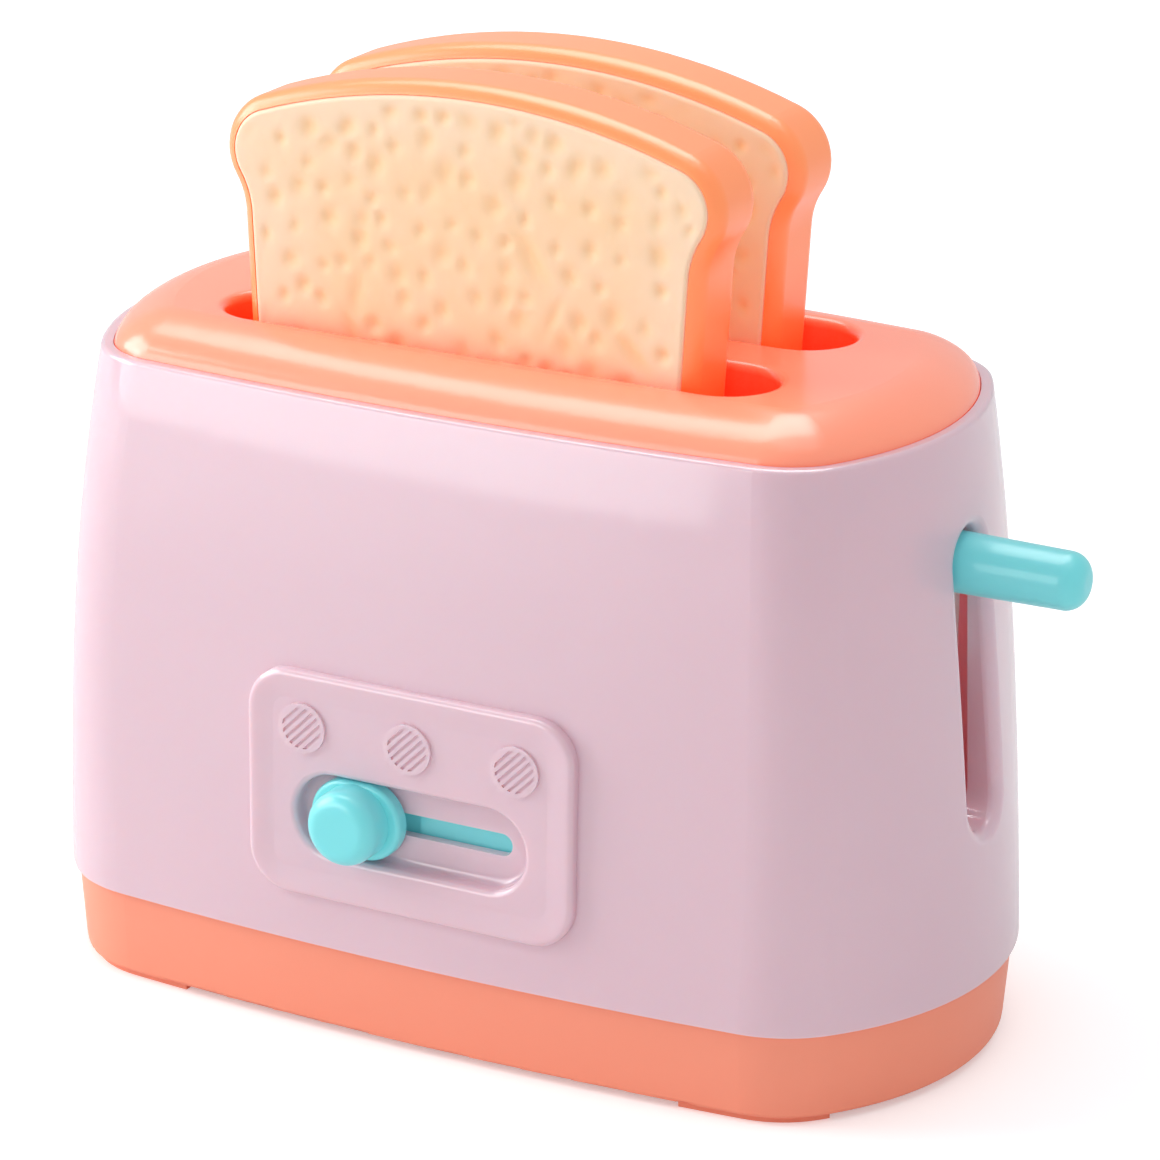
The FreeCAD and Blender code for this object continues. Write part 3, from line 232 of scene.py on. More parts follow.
@dataclass(frozen=True)
class MouldedPlastic:
    """Injection-moulded plastic: even colour, faint flow marks and a fine skin, with a painted glow,
    painted shade in hollows and painted light below the chutes where these are set.

    Attributes:
        name: The material's name.
        colour: Main colour.
        deep: Colour that shows where the plastic is thicker or flows together.
        roughness: Roughness of the skin.
        gloss: Weight of the clear coat.
        glow: Weight of light that passes through the plastic.
        depth: How far light travels in the plastic, in metres.
        painted_glow: Strength of a painted glow: light that the plastic gives out though it is no lamp.
        painted_glow_colour: Colour of that painted glow.
        hollow_shade: Painted shade: colour laid into narrow hollows, found by ambient occlusion, that
            stands in for the deep light bouncing there often.
        inside: Painted light: pale pink painted on the hidden parts below the chutes, standing in for the
            shell's own light that falls on them.
        coat: Roughness of the clear coat.
        skin: Depth of the fine skin texture in metres.
        wave: Depth of the slow waves of the moulding in metres.
        FLOW_CELLS: Flow marks in a metre.
        SMEAR_CELLS: Patches of uneven gloss in a metre.
        WAVE_CELLS: Slow waves in a metre.
        SKIN_CELLS: Grains of the skin in a metre.
        SMEAR: Least and greatest roughness, as shares of the finish's own.
        HOLLOW_SHADE_REACH: How far round a point the ambient occlusion of the painted hollow shade looks,
            in metres.
        HOLLOW_SHADE_OPEN: Openness that takes the whole painted hollow shade, and the one that takes
            none.
        INSIDE_LIGHT_TOP: Heights between which the painted inside light fades out, in metres.
        LIGHT_REACH: How far red, green and blue light travel in the plastic, as shares of depth.
    """

    FLOW_CELLS: ClassVar[float] = 12
    SMEAR_CELLS: ClassVar[float] = 60
    WAVE_CELLS: ClassVar[float] = 30
    SKIN_CELLS: ClassVar[float] = 1800
    SMEAR: ClassVar[tuple[float, float]] = (0.9, 1.12)
    HOLLOW_SHADE_REACH: ClassVar[float] = 0.02
    HOLLOW_SHADE_OPEN: ClassVar[tuple[float, float]] = (0.15, 0.75)
    INSIDE_LIGHT_TOP: ClassVar[tuple[float, float]] = (0.084, 0.088)
    LIGHT_REACH: ClassVar[Colour] = (1.0, 0.5, 0.35)

    name: str
    colour: Colour
    deep: Colour
    roughness: float = 0.3
    gloss: float = 0.0
    glow: float = 0.1
    depth: float = 0.002
    painted_glow: float = 0.0
    painted_glow_colour: Colour = (1.0, 0.03, 0.004)
    hollow_shade: Colour | None = None
    inside: Colour | None = None
    coat: float = 0.08
    skin: float = 0.0000012
    wave: float = 0.00001

    def build(self) -> bpy.types.Material:
        """Build the material.

        Returns:
            The material.
        """
        graph = Graph(self.name)
        shader = graph.shader
        flow = graph.spread(graph.noise(self.FLOW_CELLS, 0), 0.0, 0.5, 0.2, 0.8)
        paint = graph.blend(flow, self.colour, self.deep)
        # Painted shade: narrow hollows, found by ambient occlusion, are painted a deeper colour.
        if self.hollow_shade is not None:
            shade = graph.add("ShaderNodeAmbientOcclusion", Distance=self.HOLLOW_SHADE_REACH, samples=4)
            share = graph.spread(shade.outputs["AO"], 1.0, 0.0, *self.HOLLOW_SHADE_OPEN)
            paint = graph.blend(share, paint, self.hollow_shade)
        # Painted light: below the chutes the colour is painted the pale pink of the shell's own light.
        if self.inside is not None:
            share = graph.spread(graph.height(), 1.0, 0.0, *self.INSIDE_LIGHT_TOP)
            paint = graph.blend(share, paint, self.inside)
        graph.link(paint, shader.inputs["Base Color"])
        least, most = (self.roughness * share for share in self.SMEAR)
        smear = graph.spread(graph.noise(self.SMEAR_CELLS, 2), least, most, 0.2, 0.8)
        graph.link(smear, shader.inputs["Roughness"])
        shader.inputs["IOR"].default_value = PLASTIC_IOR
        shader.inputs["Coat Weight"].default_value = self.gloss
        shader.inputs["Coat Roughness"].default_value = self.coat
        shader.inputs["Subsurface Weight"].default_value = self.glow
        shader.inputs["Subsurface Radius"].default_value = self.LIGHT_REACH
        shader.inputs["Subsurface Scale"].default_value = self.depth
        # Painted glow: emission lets the plastic give out light though it is no lamp.
        shader.inputs["Emission Color"].default_value = (*self.painted_glow_colour, 1.0)
        shader.inputs["Emission Strength"].default_value = self.painted_glow
        waves = graph.bump(graph.noise(self.WAVE_CELLS, 1), self.wave)
        normal = graph.bump(graph.noise(self.SKIN_CELLS, 2), self.skin, waves)
        graph.link(normal, shader.inputs["Normal"])
        return graph.material


@dataclass(frozen=True)
class CrumbPlastic:
    """Cream plastic of a slice's face, with painted shade that makes it a little deeper in colour down in
    its pits and over its pitted middle.

    Attributes:
        name: The material's name.
        colour: Colour of the raised surface along the edge.
        middle: Painted shade: colour of the raised surface in the middle, darker than along the edge,
            standing in for the shade of the pits there.
        deep: Painted shade: colour at the bottom of a pit.
        roughness: Roughness of the skin.
        glow: Weight of light that passes through the plastic.
        depth: How far light travels in the plastic, in metres.
        painted_glow: Strength of a painted glow: light that the plate gives out though it is no lamp.
        painted_glow_colour: Colour of that painted glow.
        skin: Depth of the fine skin texture in metres.
        MOTTLE_CELLS: Patches of paler colour in a metre.
        SMEAR_CELLS: Patches of uneven gloss in a metre.
        SKIN_CELLS: Grains of the skin in a metre.
        PALE: Colour of a patch, as a share of the edge's colour.
        LIGHT_REACH: How far red, green and blue light travel in the plastic, as shares of depth.
    """

    MOTTLE_CELLS: ClassVar[float] = 90
    SMEAR_CELLS: ClassVar[float] = 300
    SKIN_CELLS: ClassVar[float] = 900
    PALE: ClassVar[float] = 0.96
    LIGHT_REACH: ClassVar[Colour] = (1.0, 0.6, 0.35)

    name: str
    colour: Colour
    middle: Colour
    deep: Colour
    roughness: float = 0.5
    glow: float = 0.25
    depth: float = 0.002
    painted_glow: float = 0.05
    painted_glow_colour: Colour = (1.0, 0.5, 0.22)
    skin: float = 0.000004

    def build(self) -> bpy.types.Material:
        """Build the material.

        Returns:
            The material.
        """
        graph = Graph(self.name)
        shader = graph.shader
        # Painted shade: the middle of the face is painted darker than the edge.
        ground = graph.blend(graph.attribute(CrumbPlate.MIDDLE_SHADE), self.colour, self.middle)
        pale = tuple(part * self.PALE for part in self.colour)
        mottle = graph.spread(graph.noise(self.MOTTLE_CELLS, 2), 0.0, 0.4)
        ground = graph.blend(mottle, ground, pale)
        # Painted shade: the deeper a pit, the deeper its colour.
        paint = graph.blend(graph.attribute(CrumbPlate.PIT_SHADE), ground, self.deep)
        graph.link(paint, shader.inputs["Base Color"])
        smear = graph.spread(graph.noise(self.SMEAR_CELLS, 2), self.roughness * 0.9, self.roughness * 1.1)
        graph.link(smear, shader.inputs["Roughness"])
        shader.inputs["IOR"].default_value = PLASTIC_IOR
        shader.inputs["Subsurface Weight"].default_value = self.glow
        shader.inputs["Subsurface Radius"].default_value = self.LIGHT_REACH
        shader.inputs["Subsurface Scale"].default_value = self.depth
        # Painted glow: emission lets the plate give out light though it is no lamp.
        shader.inputs["Emission Color"].default_value = (*self.painted_glow_colour, 1.0)
        shader.inputs["Emission Strength"].default_value = self.painted_glow
        normal = graph.bump(graph.noise(self.SKIN_CELLS, 2), self.skin)
        graph.link(normal, shader.inputs["Normal"])
        return graph.material


@dataclass(frozen=True)
class BrightSteel:
    """Drawn steel wire and rod: fine scratches round a bright skin.

    Attributes:
        name: The material's name.
        colour: Reflected colour.
        scratch: Depth of the scratches in metres.
        PATCH_CELLS: Duller patches in a metre.
        SMEAR_CELLS: Patches of uneven gloss in a metre.
        SCRATCH_CELLS: Scratches in a metre.
        DULL: Colour of a dull patch, as a share of the main one.
        ROUGHNESS: Least and greatest roughness.
    """

    PATCH_CELLS: ClassVar[float] = 220
    SMEAR_CELLS: ClassVar[float] = 900
    SCRATCH_CELLS: ClassVar[float] = 2500
    DULL: ClassVar[float] = 0.8
    ROUGHNESS: ClassVar[tuple[float, float]] = (0.29, 0.42)

    name: str
    colour: Colour
    scratch: float = 0.000004

    def build(self) -> bpy.types.Material:
        """Build the material.

        Returns:
            The material.
        """
        graph = Graph(self.name)
        shader = graph.shader
        patch = graph.spread(graph.noise(self.PATCH_CELLS, 3), 0.0, 0.6)
        dull = tuple(part * self.DULL for part in self.colour)
        graph.link(graph.blend(patch, self.colour, dull), shader.inputs["Base Color"])
        smear = graph.spread(graph.noise(self.SMEAR_CELLS, 4), *self.ROUGHNESS)
        graph.link(smear, shader.inputs["Roughness"])
        shader.inputs["Metallic"].default_value = 1.0
        normal = graph.bump(graph.noise(self.SCRATCH_CELLS, 2), self.scratch)
        graph.link(normal, shader.inputs["Normal"])
        return graph.material


class Finish(Enum):
    """Finishes of the toaster's pieces."""

    PINK = MouldedPlastic("pink_plastic", linear(232, 199, 210), linear(228, 192, 204),
                          roughness=0.31, gloss=0.8, glow=0.4, depth=0.004, wave=0.00012)
    # CORAL: painted glow, painted shade in its hollows and painted light below the chutes.
    CORAL = MouldedPlastic("coral_gloss_plastic", linear(255, 168, 135), linear(255, 160, 125),
                           roughness=0.24, gloss=0.5, glow=0.15, painted_glow=0.22,
                           hollow_shade=linear(255, 88, 44), inside=linear(236, 210, 218), coat=0.2)
    # BASE and TEAL carry a painted glow.
    BASE = MouldedPlastic("coral_satin_plastic", linear(255, 160, 130), linear(253, 150, 120),
                          roughness=0.45, glow=0.12, painted_glow=0.05)
    TEAL = MouldedPlastic("teal_plastic", linear(124, 228, 231), linear(114, 219, 225),
                          roughness=0.34, gloss=0.3, glow=0.2, painted_glow=0.07,
                          painted_glow_colour=(0.2, 0.75, 0.85))
    # CRUST: painted glow and painted shade in its hollows.
    CRUST = MouldedPlastic("crust_plastic", linear(255, 166, 100), linear(255, 156, 90),
                           roughness=0.36, gloss=0.6, glow=0.2, painted_glow=0.25,
                           hollow_shade=linear(255, 140, 60), coat=0.22)
    WHITE = MouldedPlastic("inner_plastic", linear(236, 234, 228), linear(224, 222, 214),
                           roughness=0.5, glow=0.05)
    # CRUMB: painted shade in its pits and middle, and a painted glow.
    CRUMB = CrumbPlastic("crumb_plastic", linear(255, 224, 192), linear(254, 215, 172),
                         linear(255, 208, 156))
    STEEL = BrightSteel("bright_steel", linear(205, 207, 212))

    def material(self) -> bpy.types.Material:
        """Find the finish's material, which is built once.

        Returns:
            The material.
        """
        known = bpy.data.materials.get(self.value.name)
        return known or self.value.build()


def dress_node(node: str, finish: Finish) -> None:
    """Give a node of the frame a finish.

    Args:
        node: The node's name.
        finish: Its finish.
    """
    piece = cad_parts[node]
    for slot in piece.material_slots:
        slot.material = finish.material()
    if not piece.material_slots:
        piece.data.materials.append(finish.material())
    log.info("dressed %s in %s", node, finish.name)


@dataclass
class Body:
    """Shell, cover and base, which make up the toaster's body.

    Attributes:
        finishes: Each moulding's finish.
    """

    finishes: dict[str, Finish] = field(default_factory=lambda: {
        "shell": Finish.PINK, "top_cover": Finish.CORAL, "base_tub": Finish.BASE})

    def build(self) -> None:
        """Dress the body's mouldings."""
        for node, finish in self.finishes.items():
            dress_node(node, finish)


@dataclass
class Works:
    """Inner works: carriage, rods, springs, slider frame and screws.

    Attributes:
        steel: Pieces of steel.
        plain: Pieces of pale plastic.
    """

    steel: tuple[str, ...] = ("guide_rod_left", "guide_rod_right", "lift_spring_left",
                              "lift_spring_right", "base_screws", "lever_screw", "knob_screw",
                              "frame_screws")
    plain: tuple[str, ...] = ("bread_carriage", "slider_frame")

    def build(self) -> None:
        """Dress the inner pieces."""
        for node in self.steel:
            dress_node(node, Finish.STEEL)
        for node in self.plain:
            dress_node(node, Finish.WHITE)


@dataclass
class Controls:
    """Lever, knob and strip.

    Attributes:
        nodes: The pieces.
    """

    nodes: tuple[str, ...] = ("lever_handle", "browning_knob", "slider_strip")

    def build(self) -> None:
        """Dress the controls."""
        for node in self.nodes:
            dress_node(node, Finish.TEAL)


@dataclass(frozen=True)
class Pit:
    """One pit that is pressed into a slice's face.

    Attributes:
        x: Place along X in metres.
        z: Place along Z in metres.
        long: Half length in metres.
        wide: Half width in metres.
        heading: Heading of the long way in the face, in radians.
        depth: Depth in metres.
        FALL: How fast the pit grows shallow away from its middle.
    """

    FALL: ClassVar[float] = 1.3

    x: float
    z: float
    long: float
    wide: float
    heading: float
    depth: float

    def press(self, points: np.ndarray) -> np.ndarray:
        """Work out how deep the pit presses each point.

        Args:
            points: The points, as rows of x and z.

        Returns:
            Each point's depth in metres.
        """
        run, rise = points[:, 0] - self.x, points[:, 1] - self.z
        along = run * math.cos(self.heading) + rise * math.sin(self.heading)
        across = rise * math.cos(self.heading) - run * math.sin(self.heading)
        reach = (along / self.long) ** 2 + (across / self.wide) ** 2
        return self.depth * np.exp(-self.FALL * reach)


@dataclass
class CrumbPlate:
    """Pitted face of a slice: the CAD plate with its flat face laid out afresh, pits and all.

    Attributes:
        node: The CAD node that the plate stands for.
        body: The body that it rides on.
        seed: Seed of the pits' places.
        step: Spacing of the face's points in metres.
        spacing: Least distance between pits in metres.
        fade: Width of the smooth band along the edge in metres.
        sway: Height of the face's slow waves in metres.
        PIT_SHADE: Name of the stored share of the pits' painted shade.
        MIDDLE_SHADE: Name of the stored share of the middle's painted shade.
        FLAT: How far from flat a point may lie, in metres.
        SHARP: Least angle of a sharp edge in degrees.
        ROW_SHARE: Distance between rows of points, as a share of their spacing.
        RIM_SHARE: Least distance of a point from the outline, as a share of the spacing.
        TRIES: Number of places tried for pits.
        ROOM: Least and greatest room round a pit, as shares of the spacing.
        HALF_WIDTH: Least and greatest half width of a pit in metres.
        ROUND: Length of a round pit, as shares of its width.
        DRAWN: Length of a drawn-out pit, as shares of its width.
        DRAWN_SHARE: Share of drawn-out pits.
        HEADING_SPREAD: Spread of the pits' headings in radians.
        DEPTH: Least and greatest depth of a pit in metres.
        DARK_DEPTH: Depth that takes the whole of the pits' painted shade, in metres.
        DARK_MOST: Greatest share of the pits' painted shade.
        MIDDLE_FROM: Distance from the edge where the middle's painted shade is full, in metres.
        SWAY_CELLS: Slow waves in a metre.
        INSIDE_ONLY: Kind of triangulation that keeps what lies inside the outline.
        SAME_POINT: Distance within which two points are one, in metres.
    """

    PIT_SHADE: ClassVar[str] = "pit"
    MIDDLE_SHADE: ClassVar[str] = "middle"
    FLAT: ClassVar[float] = 2e-6
    SHARP: ClassVar[float] = 35
    ROW_SHARE: ClassVar[float] = 0.866
    RIM_SHARE: ClassVar[float] = 0.6
    TRIES: ClassVar[int] = 2600
    ROOM: ClassVar[tuple[float, float]] = (0.85, 1.6)
    HALF_WIDTH: ClassVar[tuple[float, float]] = (0.0011, 0.0019)
    ROUND: ClassVar[tuple[float, float]] = (1.0, 1.35)
    DRAWN: ClassVar[tuple[float, float]] = (1.9, 3.2)
    DRAWN_SHARE: ClassVar[float] = 0.06
    HEADING_SPREAD: ClassVar[float] = 0.5
    DEPTH: ClassVar[tuple[float, float]] = (0.00024, 0.00044)
    DARK_DEPTH: ClassVar[float] = 0.0004
    DARK_MOST: ClassVar[float] = 0.8
    MIDDLE_FROM: ClassVar[float] = 0.012
    SWAY_CELLS: ClassVar[float] = 160
    INSIDE_ONLY: ClassVar[int] = 1
    SAME_POINT: ClassVar[float] = 1e-8

    node: str
    body: str
    seed: int
    step: float = 0.00055
    spacing: float = 0.0040
    fade: float = 0.0022
    sway: float = 0.00004

    def build(self) -> bpy.types.Object:
        """Build the plate and let it stand for its node.

        Returns:
            The plate.
        """
        low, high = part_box(self.node)
        outward = -1.0 if self.node.endswith("front") else 1.0
        level = low.y if outward < 0 else high.y
        mesh = bmesh.new()
        mesh.from_mesh(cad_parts[self.node].data)
        bmesh.ops.remove_doubles(mesh, verts=mesh.verts, dist=self.FLAT)
        for layer in (self.PIT_SHADE, self.MIDDLE_SHADE):
            mesh.verts.layers.float.new(layer)
        loop = self.open_face(mesh, level)
        self.fill_face(mesh, loop, level, outward)
        data = bpy.data.meshes.new(f"{self.node}_pitted")
        mesh.to_mesh(data)
        mesh.free()
        data.shade_smooth()
        data.set_sharp_from_angle(angle=math.radians(self.SHARP))
        data.materials.append(Finish.CRUMB.material())
        plate = bpy.data.objects.new(f"{self.node}_pitted", data)
        bpy.context.scene.collection.objects.link(plate)
        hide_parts(self.node)
        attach(plate, self.body)
        return plate

    def open_face(self, mesh: bmesh.types.BMesh, level: float) -> list[bmesh.types.BMVert]:
        """Take away the flat outward face.

        Args:
            mesh: The plate's mesh.
            level: The face's place along Y.

        Returns:
            The points round the opening, in order.
        """
        flat = [face for face in mesh.faces
                if all(abs(vert.co.y - level) < self.FLAT for vert in face.verts)]
        chosen = set(flat)
        rim = {edge for face in flat for edge in face.edges
               if sum(neighbour in chosen for neighbour in edge.link_faces) == 1}
        bmesh.ops.delete(mesh, geom=flat, context="FACES")
        rim = {edge for edge in rim if edge.is_valid}
        edge = min(rim, key=lambda item: sorted(self.corner(vert) for vert in item.verts))
        rim.remove(edge)
        loop = sorted(edge.verts, key=self.corner)
        while rim:
            edge = next(item for item in loop[-1].link_edges if item in rim)
            rim.remove(edge)
            loop.append(edge.other_vert(loop[-1]))
        return loop[:-1] if loop[-1] is loop[0] else loop

    @staticmethod
    def corner(vert: bmesh.types.BMVert) -> tuple[float, float]:
        """Read a point's place in the face.

        Args:
            vert: The point.

        Returns:
            Its x and z.
        """
        return (vert.co.x, vert.co.z)

    def scatter(self, corners: np.ndarray) -> list[Pit]:
        """Scatter pits over the face, no two too near each other.

        Args:
            corners: The face's outline, as rows of x and z.

        Returns:
            The pits.
        """
        chance = random.Random(self.seed)
        low, high = corners.min(axis=0), corners.max(axis=0)
        pits: list[Pit] = []
        for _ in range(self.TRIES):
            x = chance.uniform(low[0], high[0])
            z = chance.uniform(low[1], high[1])
            room = self.spacing * chance.uniform(*self.ROOM)
            if any(math.hypot(x - pit.x, z - pit.z) < room for pit in pits):
                continue
            wide = chance.uniform(*self.HALF_WIDTH)
            stretch = self.DRAWN if chance.random() < self.DRAWN_SHARE else self.ROUND
            long = wide * chance.uniform(*stretch)
            heading = chance.gauss(math.pi / 2, self.HEADING_SPREAD)
            pits.append(Pit(x, z, long, wide, heading, chance.uniform(*self.DEPTH)))
        return pits

    def lay_points(self, corners: np.ndarray) -> tuple[np.ndarray, np.ndarray]:
        """Lay staggered rows of points over the face.

        Args:
            corners: The face's outline, as rows of x and z.

        Returns:
            The points, as rows of x and z, and each one's distance from the outline in metres.
        """
        low, high = corners.min(axis=0), corners.max(axis=0)
        rows = []
        for row, z in enumerate(np.arange(low[1], high[1], self.step * self.ROW_SHARE)):
            line = np.arange(low[0] + (row % 2) * self.step / 2, high[0], self.step)
            rows.append(np.stack([line, np.full(len(line), z)], axis=1))
        points = np.concatenate(rows)
        inside = np.zeros(len(points), bool)
        near = np.full(len(points), np.inf)
        for start, end in zip(corners, np.roll(corners, -1, axis=0)):
            crosses = (start[1] > points[:, 1]) != (end[1] > points[:, 1])
            if start[1] != end[1]:
                at = start[0] + (points[:, 1] - start[1]) * (end[0] - start[0]) / (end[1] - start[1])
                inside ^= crosses & (points[:, 0] < at)
            run = end - start
            share = np.clip(((points - start) @ run) / (run @ run), 0.0, 1.0)
            gap = points - start - share[:, None] * run
            near = np.minimum(near, np.hypot(gap[:, 0], gap[:, 1]))
        chosen = inside & (near > self.step * self.RIM_SHARE)
        return points[chosen], near[chosen]

    def fill_face(self, mesh: bmesh.types.BMesh, loop: list[bmesh.types.BMVert], level: float,
                  outward: float) -> None:
        """Lay a fine face into the opening and press the pits into it.

        Args:
            mesh: The plate's mesh.
            loop: The points round the opening.
            level: The face's place along Y.
            outward: The face's direction along Y.
        """
        pit, middle = (mesh.verts.layers.float[layer] for layer in (self.PIT_SHADE, self.MIDDLE_SHADE))
        corners = np.array([self.corner(vert) for vert in loop])
        points, near = self.lay_points(corners)
        press = np.zeros(len(points))
        for dent in self.scatter(corners):
            press = np.maximum(press, dent.press(points))
        edge = np.clip(near / self.fade, 0.0, 1.0)
        press *= edge * edge * (3 - 2 * edge)
        flat = [Vector(corner) for corner in corners] + [Vector(point) for point in points]
        count = len(loop)
        sides = [(i, (i + 1) % count) for i in range(count)]
        _, _, faces, origins, _, _ = geometry.delaunay_2d_cdt(flat, sides, [], self.INSIDE_ONLY,
                                                             self.SAME_POINT)
        verts = list(loop)
        for (x, z), deep, room in zip(points, press, near):
            place = Vector((x * self.SWAY_CELLS, z * self.SWAY_CELLS, self.seed))
            vert = mesh.verts.new((x, level - outward * (deep + abs(noise.noise(place) * self.sway)), z))
            # Store the painted shade: deeper pits and the pitted middle are painted darker.
            vert[pit] = min(self.DARK_MOST, deep / self.DARK_DEPTH)
            vert[middle] = min(1.0, room / self.MIDDLE_FROM)
            verts.append(vert)
        for face in faces:
            trio = [verts[origins[i][0]] for i in face]
            across = (trio[1].co - trio[0].co).cross(trio[2].co - trio[0].co).y
            mesh.faces.new(trio if across * outward > 0 else trio[::-1])


@dataclass
class Bread:
    """The two slices: crusts and pitted crumb plates.

    Attributes:
        slices: The slices' bodies.
        sides: The faces of each slice.
        first_seed: Seed of the first plate's pits.
    """

    slices: tuple[str, ...] = ("front_slice", "rear_slice")
    sides: tuple[str, ...] = ("front", "back")
    first_seed: int = 11

    def build(self) -> None:
        """Dress the crusts and build the plates."""
        for number, body in enumerate(self.slices):
            dress_node(f"{body}_crust", Finish.CRUST)
            for turn, side in enumerate(self.sides):
                node = f"{body}_crumb_{side}"
                dress_node(node, Finish.CRUMB)
                seed = self.first_seed + len(self.sides) * number + turn
                CrumbPlate(node, body, seed).build()
                log.info("built the pitted face of %s", node)


@dataclass(frozen=True)
class SoftBox:
    """Rectangular soft box that faces the toaster.

    Attributes:
        name: The light's name.
        place: Its place in metres.
        size: Its width and height in metres.
        power: Its power in watts.
        mirrored_only: Whether it is seen in gloss alone and lights no matt surface.
        AIM: Point that every soft box faces, in metres.
    """

    AIM: ClassVar[Place] = (0.0, 0.0, 0.07)

    name: str
    place: Place
    size: tuple[float, float]
    power: float
    mirrored_only: bool = False

    def build(self) -> None:
        """Hang the soft box."""
        light = bpy.data.lights.new(self.name, "AREA")
        light.shape = "RECTANGLE"
        light.size, light.size_y = self.size
        light.energy = self.power
        lamp = bpy.data.objects.new(self.name, light)
        lamp.location = self.place
        aim = Vector(self.AIM) - Vector(self.place)
        lamp.rotation_euler = aim.to_track_quat("-Z", "Y").to_euler()
        lamp.visible_diffuse = not self.mirrored_only
        bpy.context.scene.collection.objects.link(lamp)


@dataclass(frozen=True)
class WallGlow:
    """Small lamp inside the shell, for the light that its thin walls let through.

    Attributes:
        place: Its place in metres.
        power: Its power in watts.
        colour: Its colour.
        radius: Its radius in metres.
    """

    place: Place = (0.055, 0.003, 0.075)
    power: float = 0.035
    colour: Colour = (0.85, 0.95, 1.0)
    radius: float = 0.01

    def build(self) -> None:
        """Place the lamp."""
        light = bpy.data.lights.new("wall_glow", "POINT")
        light.energy = self.power
        light.color = self.colour
        light.shadow_soft_size = self.radius
        lamp = bpy.data.objects.new("wall_glow", light)
        lamp.location = self.place
        bpy.context.scene.collection.objects.link(lamp)


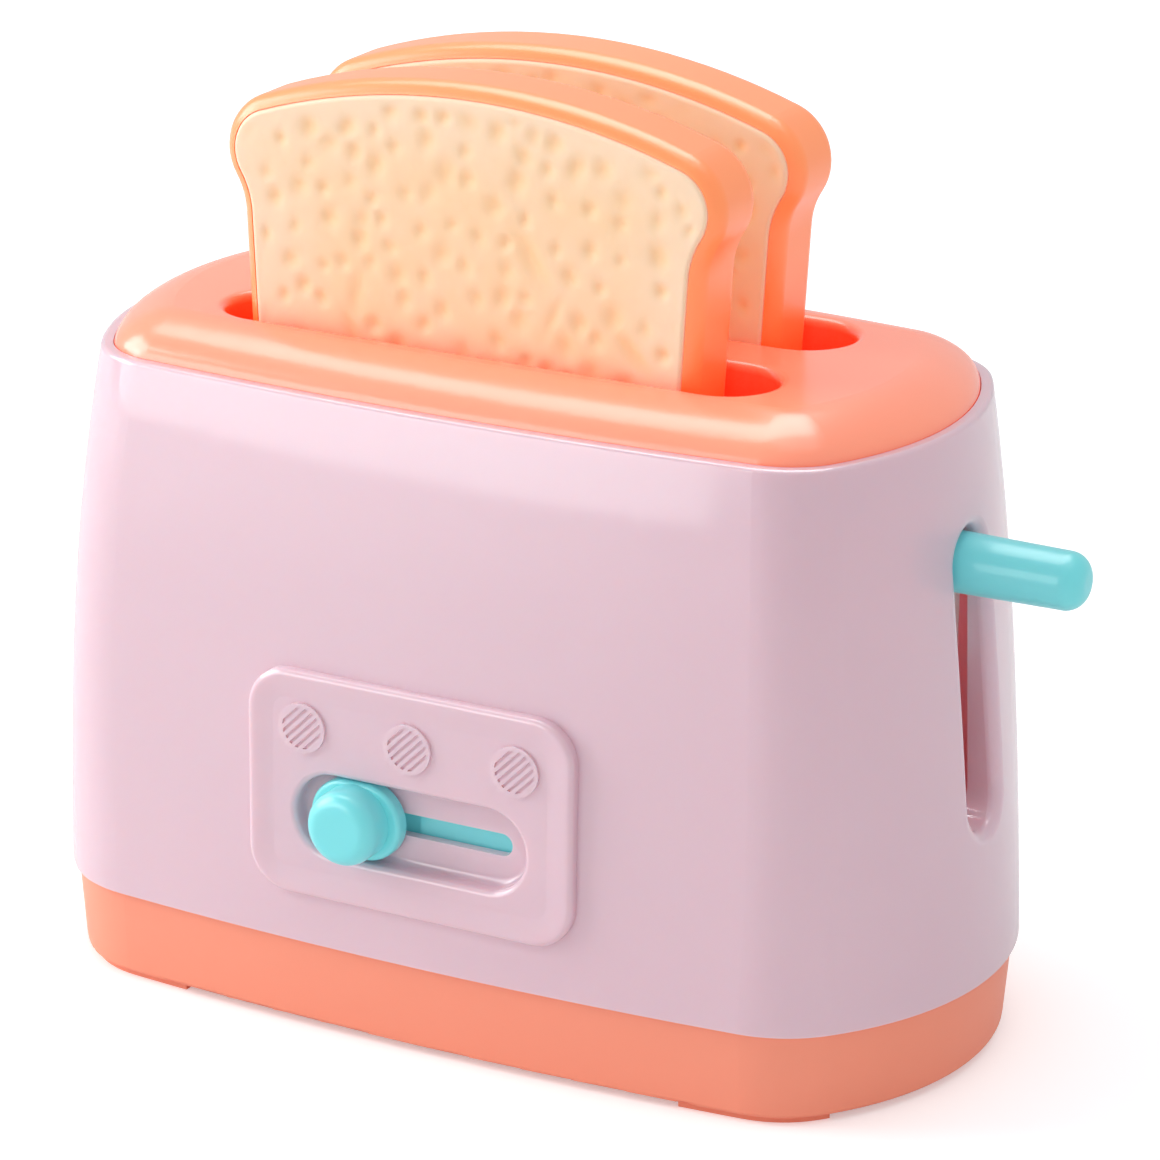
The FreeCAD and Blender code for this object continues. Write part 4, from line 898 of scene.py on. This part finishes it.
@dataclass
class Studio:
    """Plain pale floor, soft lights and the camera.

    Attributes:
        target: Point that the camera looks at, in millimetres.
        azimuth: Camera's angle round the toaster, from straight in front, in degrees.
        elevation: Camera's angle above the horizon in degrees.
        roll: Camera's turn about its own line of sight in degrees.
        distance: Distance from the target in millimetres.
        focal: Focal length in pixels of the frame.
        frame_side: Side of the square frame in pixels.
        sensor: Width of the camera's sensor in millimetres.
        floor_half: Half the floor's side in metres.
        floor_grey: Least and greatest brightness of the floor.
        floor_lift: How much whiter the floor looks to the camera than it lights the toaster.
        room_colour: Colour of the room's light.
        room_light: Strength of the room's light.
        lamps: The lamps.
        FLOOR_CELLS: Patches of the floor's colour in a metre.
        FLOOR_ROUGHNESS: Roughness of the floor.
        WHITE: White that the camera sees behind the toaster.
    """

    FLOOR_CELLS: ClassVar[float] = 9
    FLOOR_ROUGHNESS: ClassVar[float] = 0.9
    WHITE: ClassVar[Colour] = (1.0, 1.0, 1.0)

    target: Place = (0.7, 3.04, 71.68)
    azimuth: float = 27.68
    elevation: float = 19.48
    roll: float = -0.67
    distance: float = 826.86
    focal: float = 4933.32
    frame_side: float = 1160.0
    sensor: float = 36.0
    floor_half: float = 3.0
    floor_grey: tuple[float, float] = (0.86, 0.88)
    floor_lift: float = 0.35
    room_colour: Colour = (0.96, 0.975, 1.0)
    room_light: float = 0.64
    lamps: tuple[SoftBox | WallGlow, ...] = (
        SoftBox("left", (-1.3, -0.4, 0.7), (0.9, 0.9), 14.8),
        SoftBox("card", (-0.62, -0.76, 0.29), (1.0, 0.5), 5.5, mirrored_only=True),
        SoftBox("sheen", (-0.25, 0.25, 1.1), (1.0, 0.7), 9.0, mirrored_only=True),
        SoftBox("top", (0.1, 0.1, 1.3), (1.2, 0.9), 3.6),
        WallGlow(),
    )

    def build(self) -> None:
        """Build the floor, the lights and the camera."""
        self.build_floor()
        self.build_world()
        for lamp in self.lamps:
            lamp.build()
        self.build_camera()

    def build_floor(self) -> None:
        """Lay the pale floor, which is white to the camera and keeps the shadow."""
        mesh = bpy.data.meshes.new("floor")
        side = self.floor_half
        mesh.from_pydata([(-side, -side, 0), (side, -side, 0), (side, side, 0), (-side, side, 0)],
                         [], [(0, 1, 2, 3)])
        floor = bpy.data.objects.new("floor", mesh)
        bpy.context.scene.collection.objects.link(floor)
        graph = Graph("pale_floor")
        dull, pale = ((grey, grey, grey) for grey in self.floor_grey)
        paint = graph.blend(graph.spread(graph.noise(self.FLOOR_CELLS, 2), 0.0, 1.0), dull, pale)
        graph.link(paint, graph.shader.inputs["Base Color"])
        graph.shader.inputs["Roughness"].default_value = self.FLOOR_ROUGHNESS
        seen = graph.add("ShaderNodeLightPath").outputs["Is Camera Ray"]
        lift = graph.spread(seen, 0.0, self.floor_lift, 0.0, 1.0)
        graph.link(lift, graph.shader.inputs["Emission Strength"])
        graph.shader.inputs["Emission Color"].default_value = (*self.WHITE, 1.0)
        mesh.materials.append(graph.material)

    def build_world(self) -> None:
        """Light the room evenly, and show it white to the camera."""
        world = bpy.data.worlds.new("studio")
        bpy.context.scene.world = world
        world.use_nodes = True
        tree = world.node_tree
        tree.nodes.clear()
        output = tree.nodes.new("ShaderNodeOutputWorld")
        room = tree.nodes.new("ShaderNodeBackground")
        room.inputs["Color"].default_value = (*self.room_colour, 1.0)
        room.inputs["Strength"].default_value = self.room_light
        white = tree.nodes.new("ShaderNodeBackground")
        white.inputs["Color"].default_value = (*self.WHITE, 1.0)
        white.inputs["Strength"].default_value = 1.0
        ray = tree.nodes.new("ShaderNodeLightPath")
        mix = tree.nodes.new("ShaderNodeMixShader")
        tree.links.new(ray.outputs["Is Camera Ray"], mix.inputs[0])
        tree.links.new(room.outputs[0], mix.inputs[1])
        tree.links.new(white.outputs[0], mix.inputs[2])
        tree.links.new(mix.outputs[0], output.inputs["Surface"])

    def build_camera(self) -> None:
        """Set the camera."""
        azimuth, elevation, roll = (math.radians(angle)
                                    for angle in (self.azimuth, self.elevation, self.roll))
        back = Vector((math.sin(azimuth) * math.cos(elevation),
                       -math.cos(azimuth) * math.cos(elevation), math.sin(elevation)))
        right = Vector((math.cos(azimuth), math.sin(azimuth), 0.0))
        up = back.cross(right)
        turned = right * math.cos(roll) - up * math.sin(roll)
        upright = right * math.sin(roll) + up * math.cos(roll)
        data = bpy.data.cameras.new("camera")
        data.sensor_fit = "HORIZONTAL"
        data.sensor_width = self.sensor
        data.lens = self.focal / self.frame_side * data.sensor_width
        camera = bpy.data.objects.new("camera", data)
        turn = Matrix((turned, upright, back)).transposed().to_4x4()
        place = Vector(self.target) * MM + back * self.distance * MM
        camera.matrix_world = Matrix.Translation(place) @ turn
        bpy.context.scene.collection.objects.link(camera)
        bpy.context.scene.camera = camera


def main() -> None:
    """Dress the toaster, build the studio and set a plain view transform."""
    logging.basicConfig(level=logging.INFO, format="%(message)s")
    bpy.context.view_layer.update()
    for part in (Body(), Works(), Controls(), Bread(), Studio()):
        part.build()
        log.info("built %s", type(part).__name__)
    bpy.context.scene.view_settings.view_transform = "Standard"


if __name__ == "__main__":
    main()
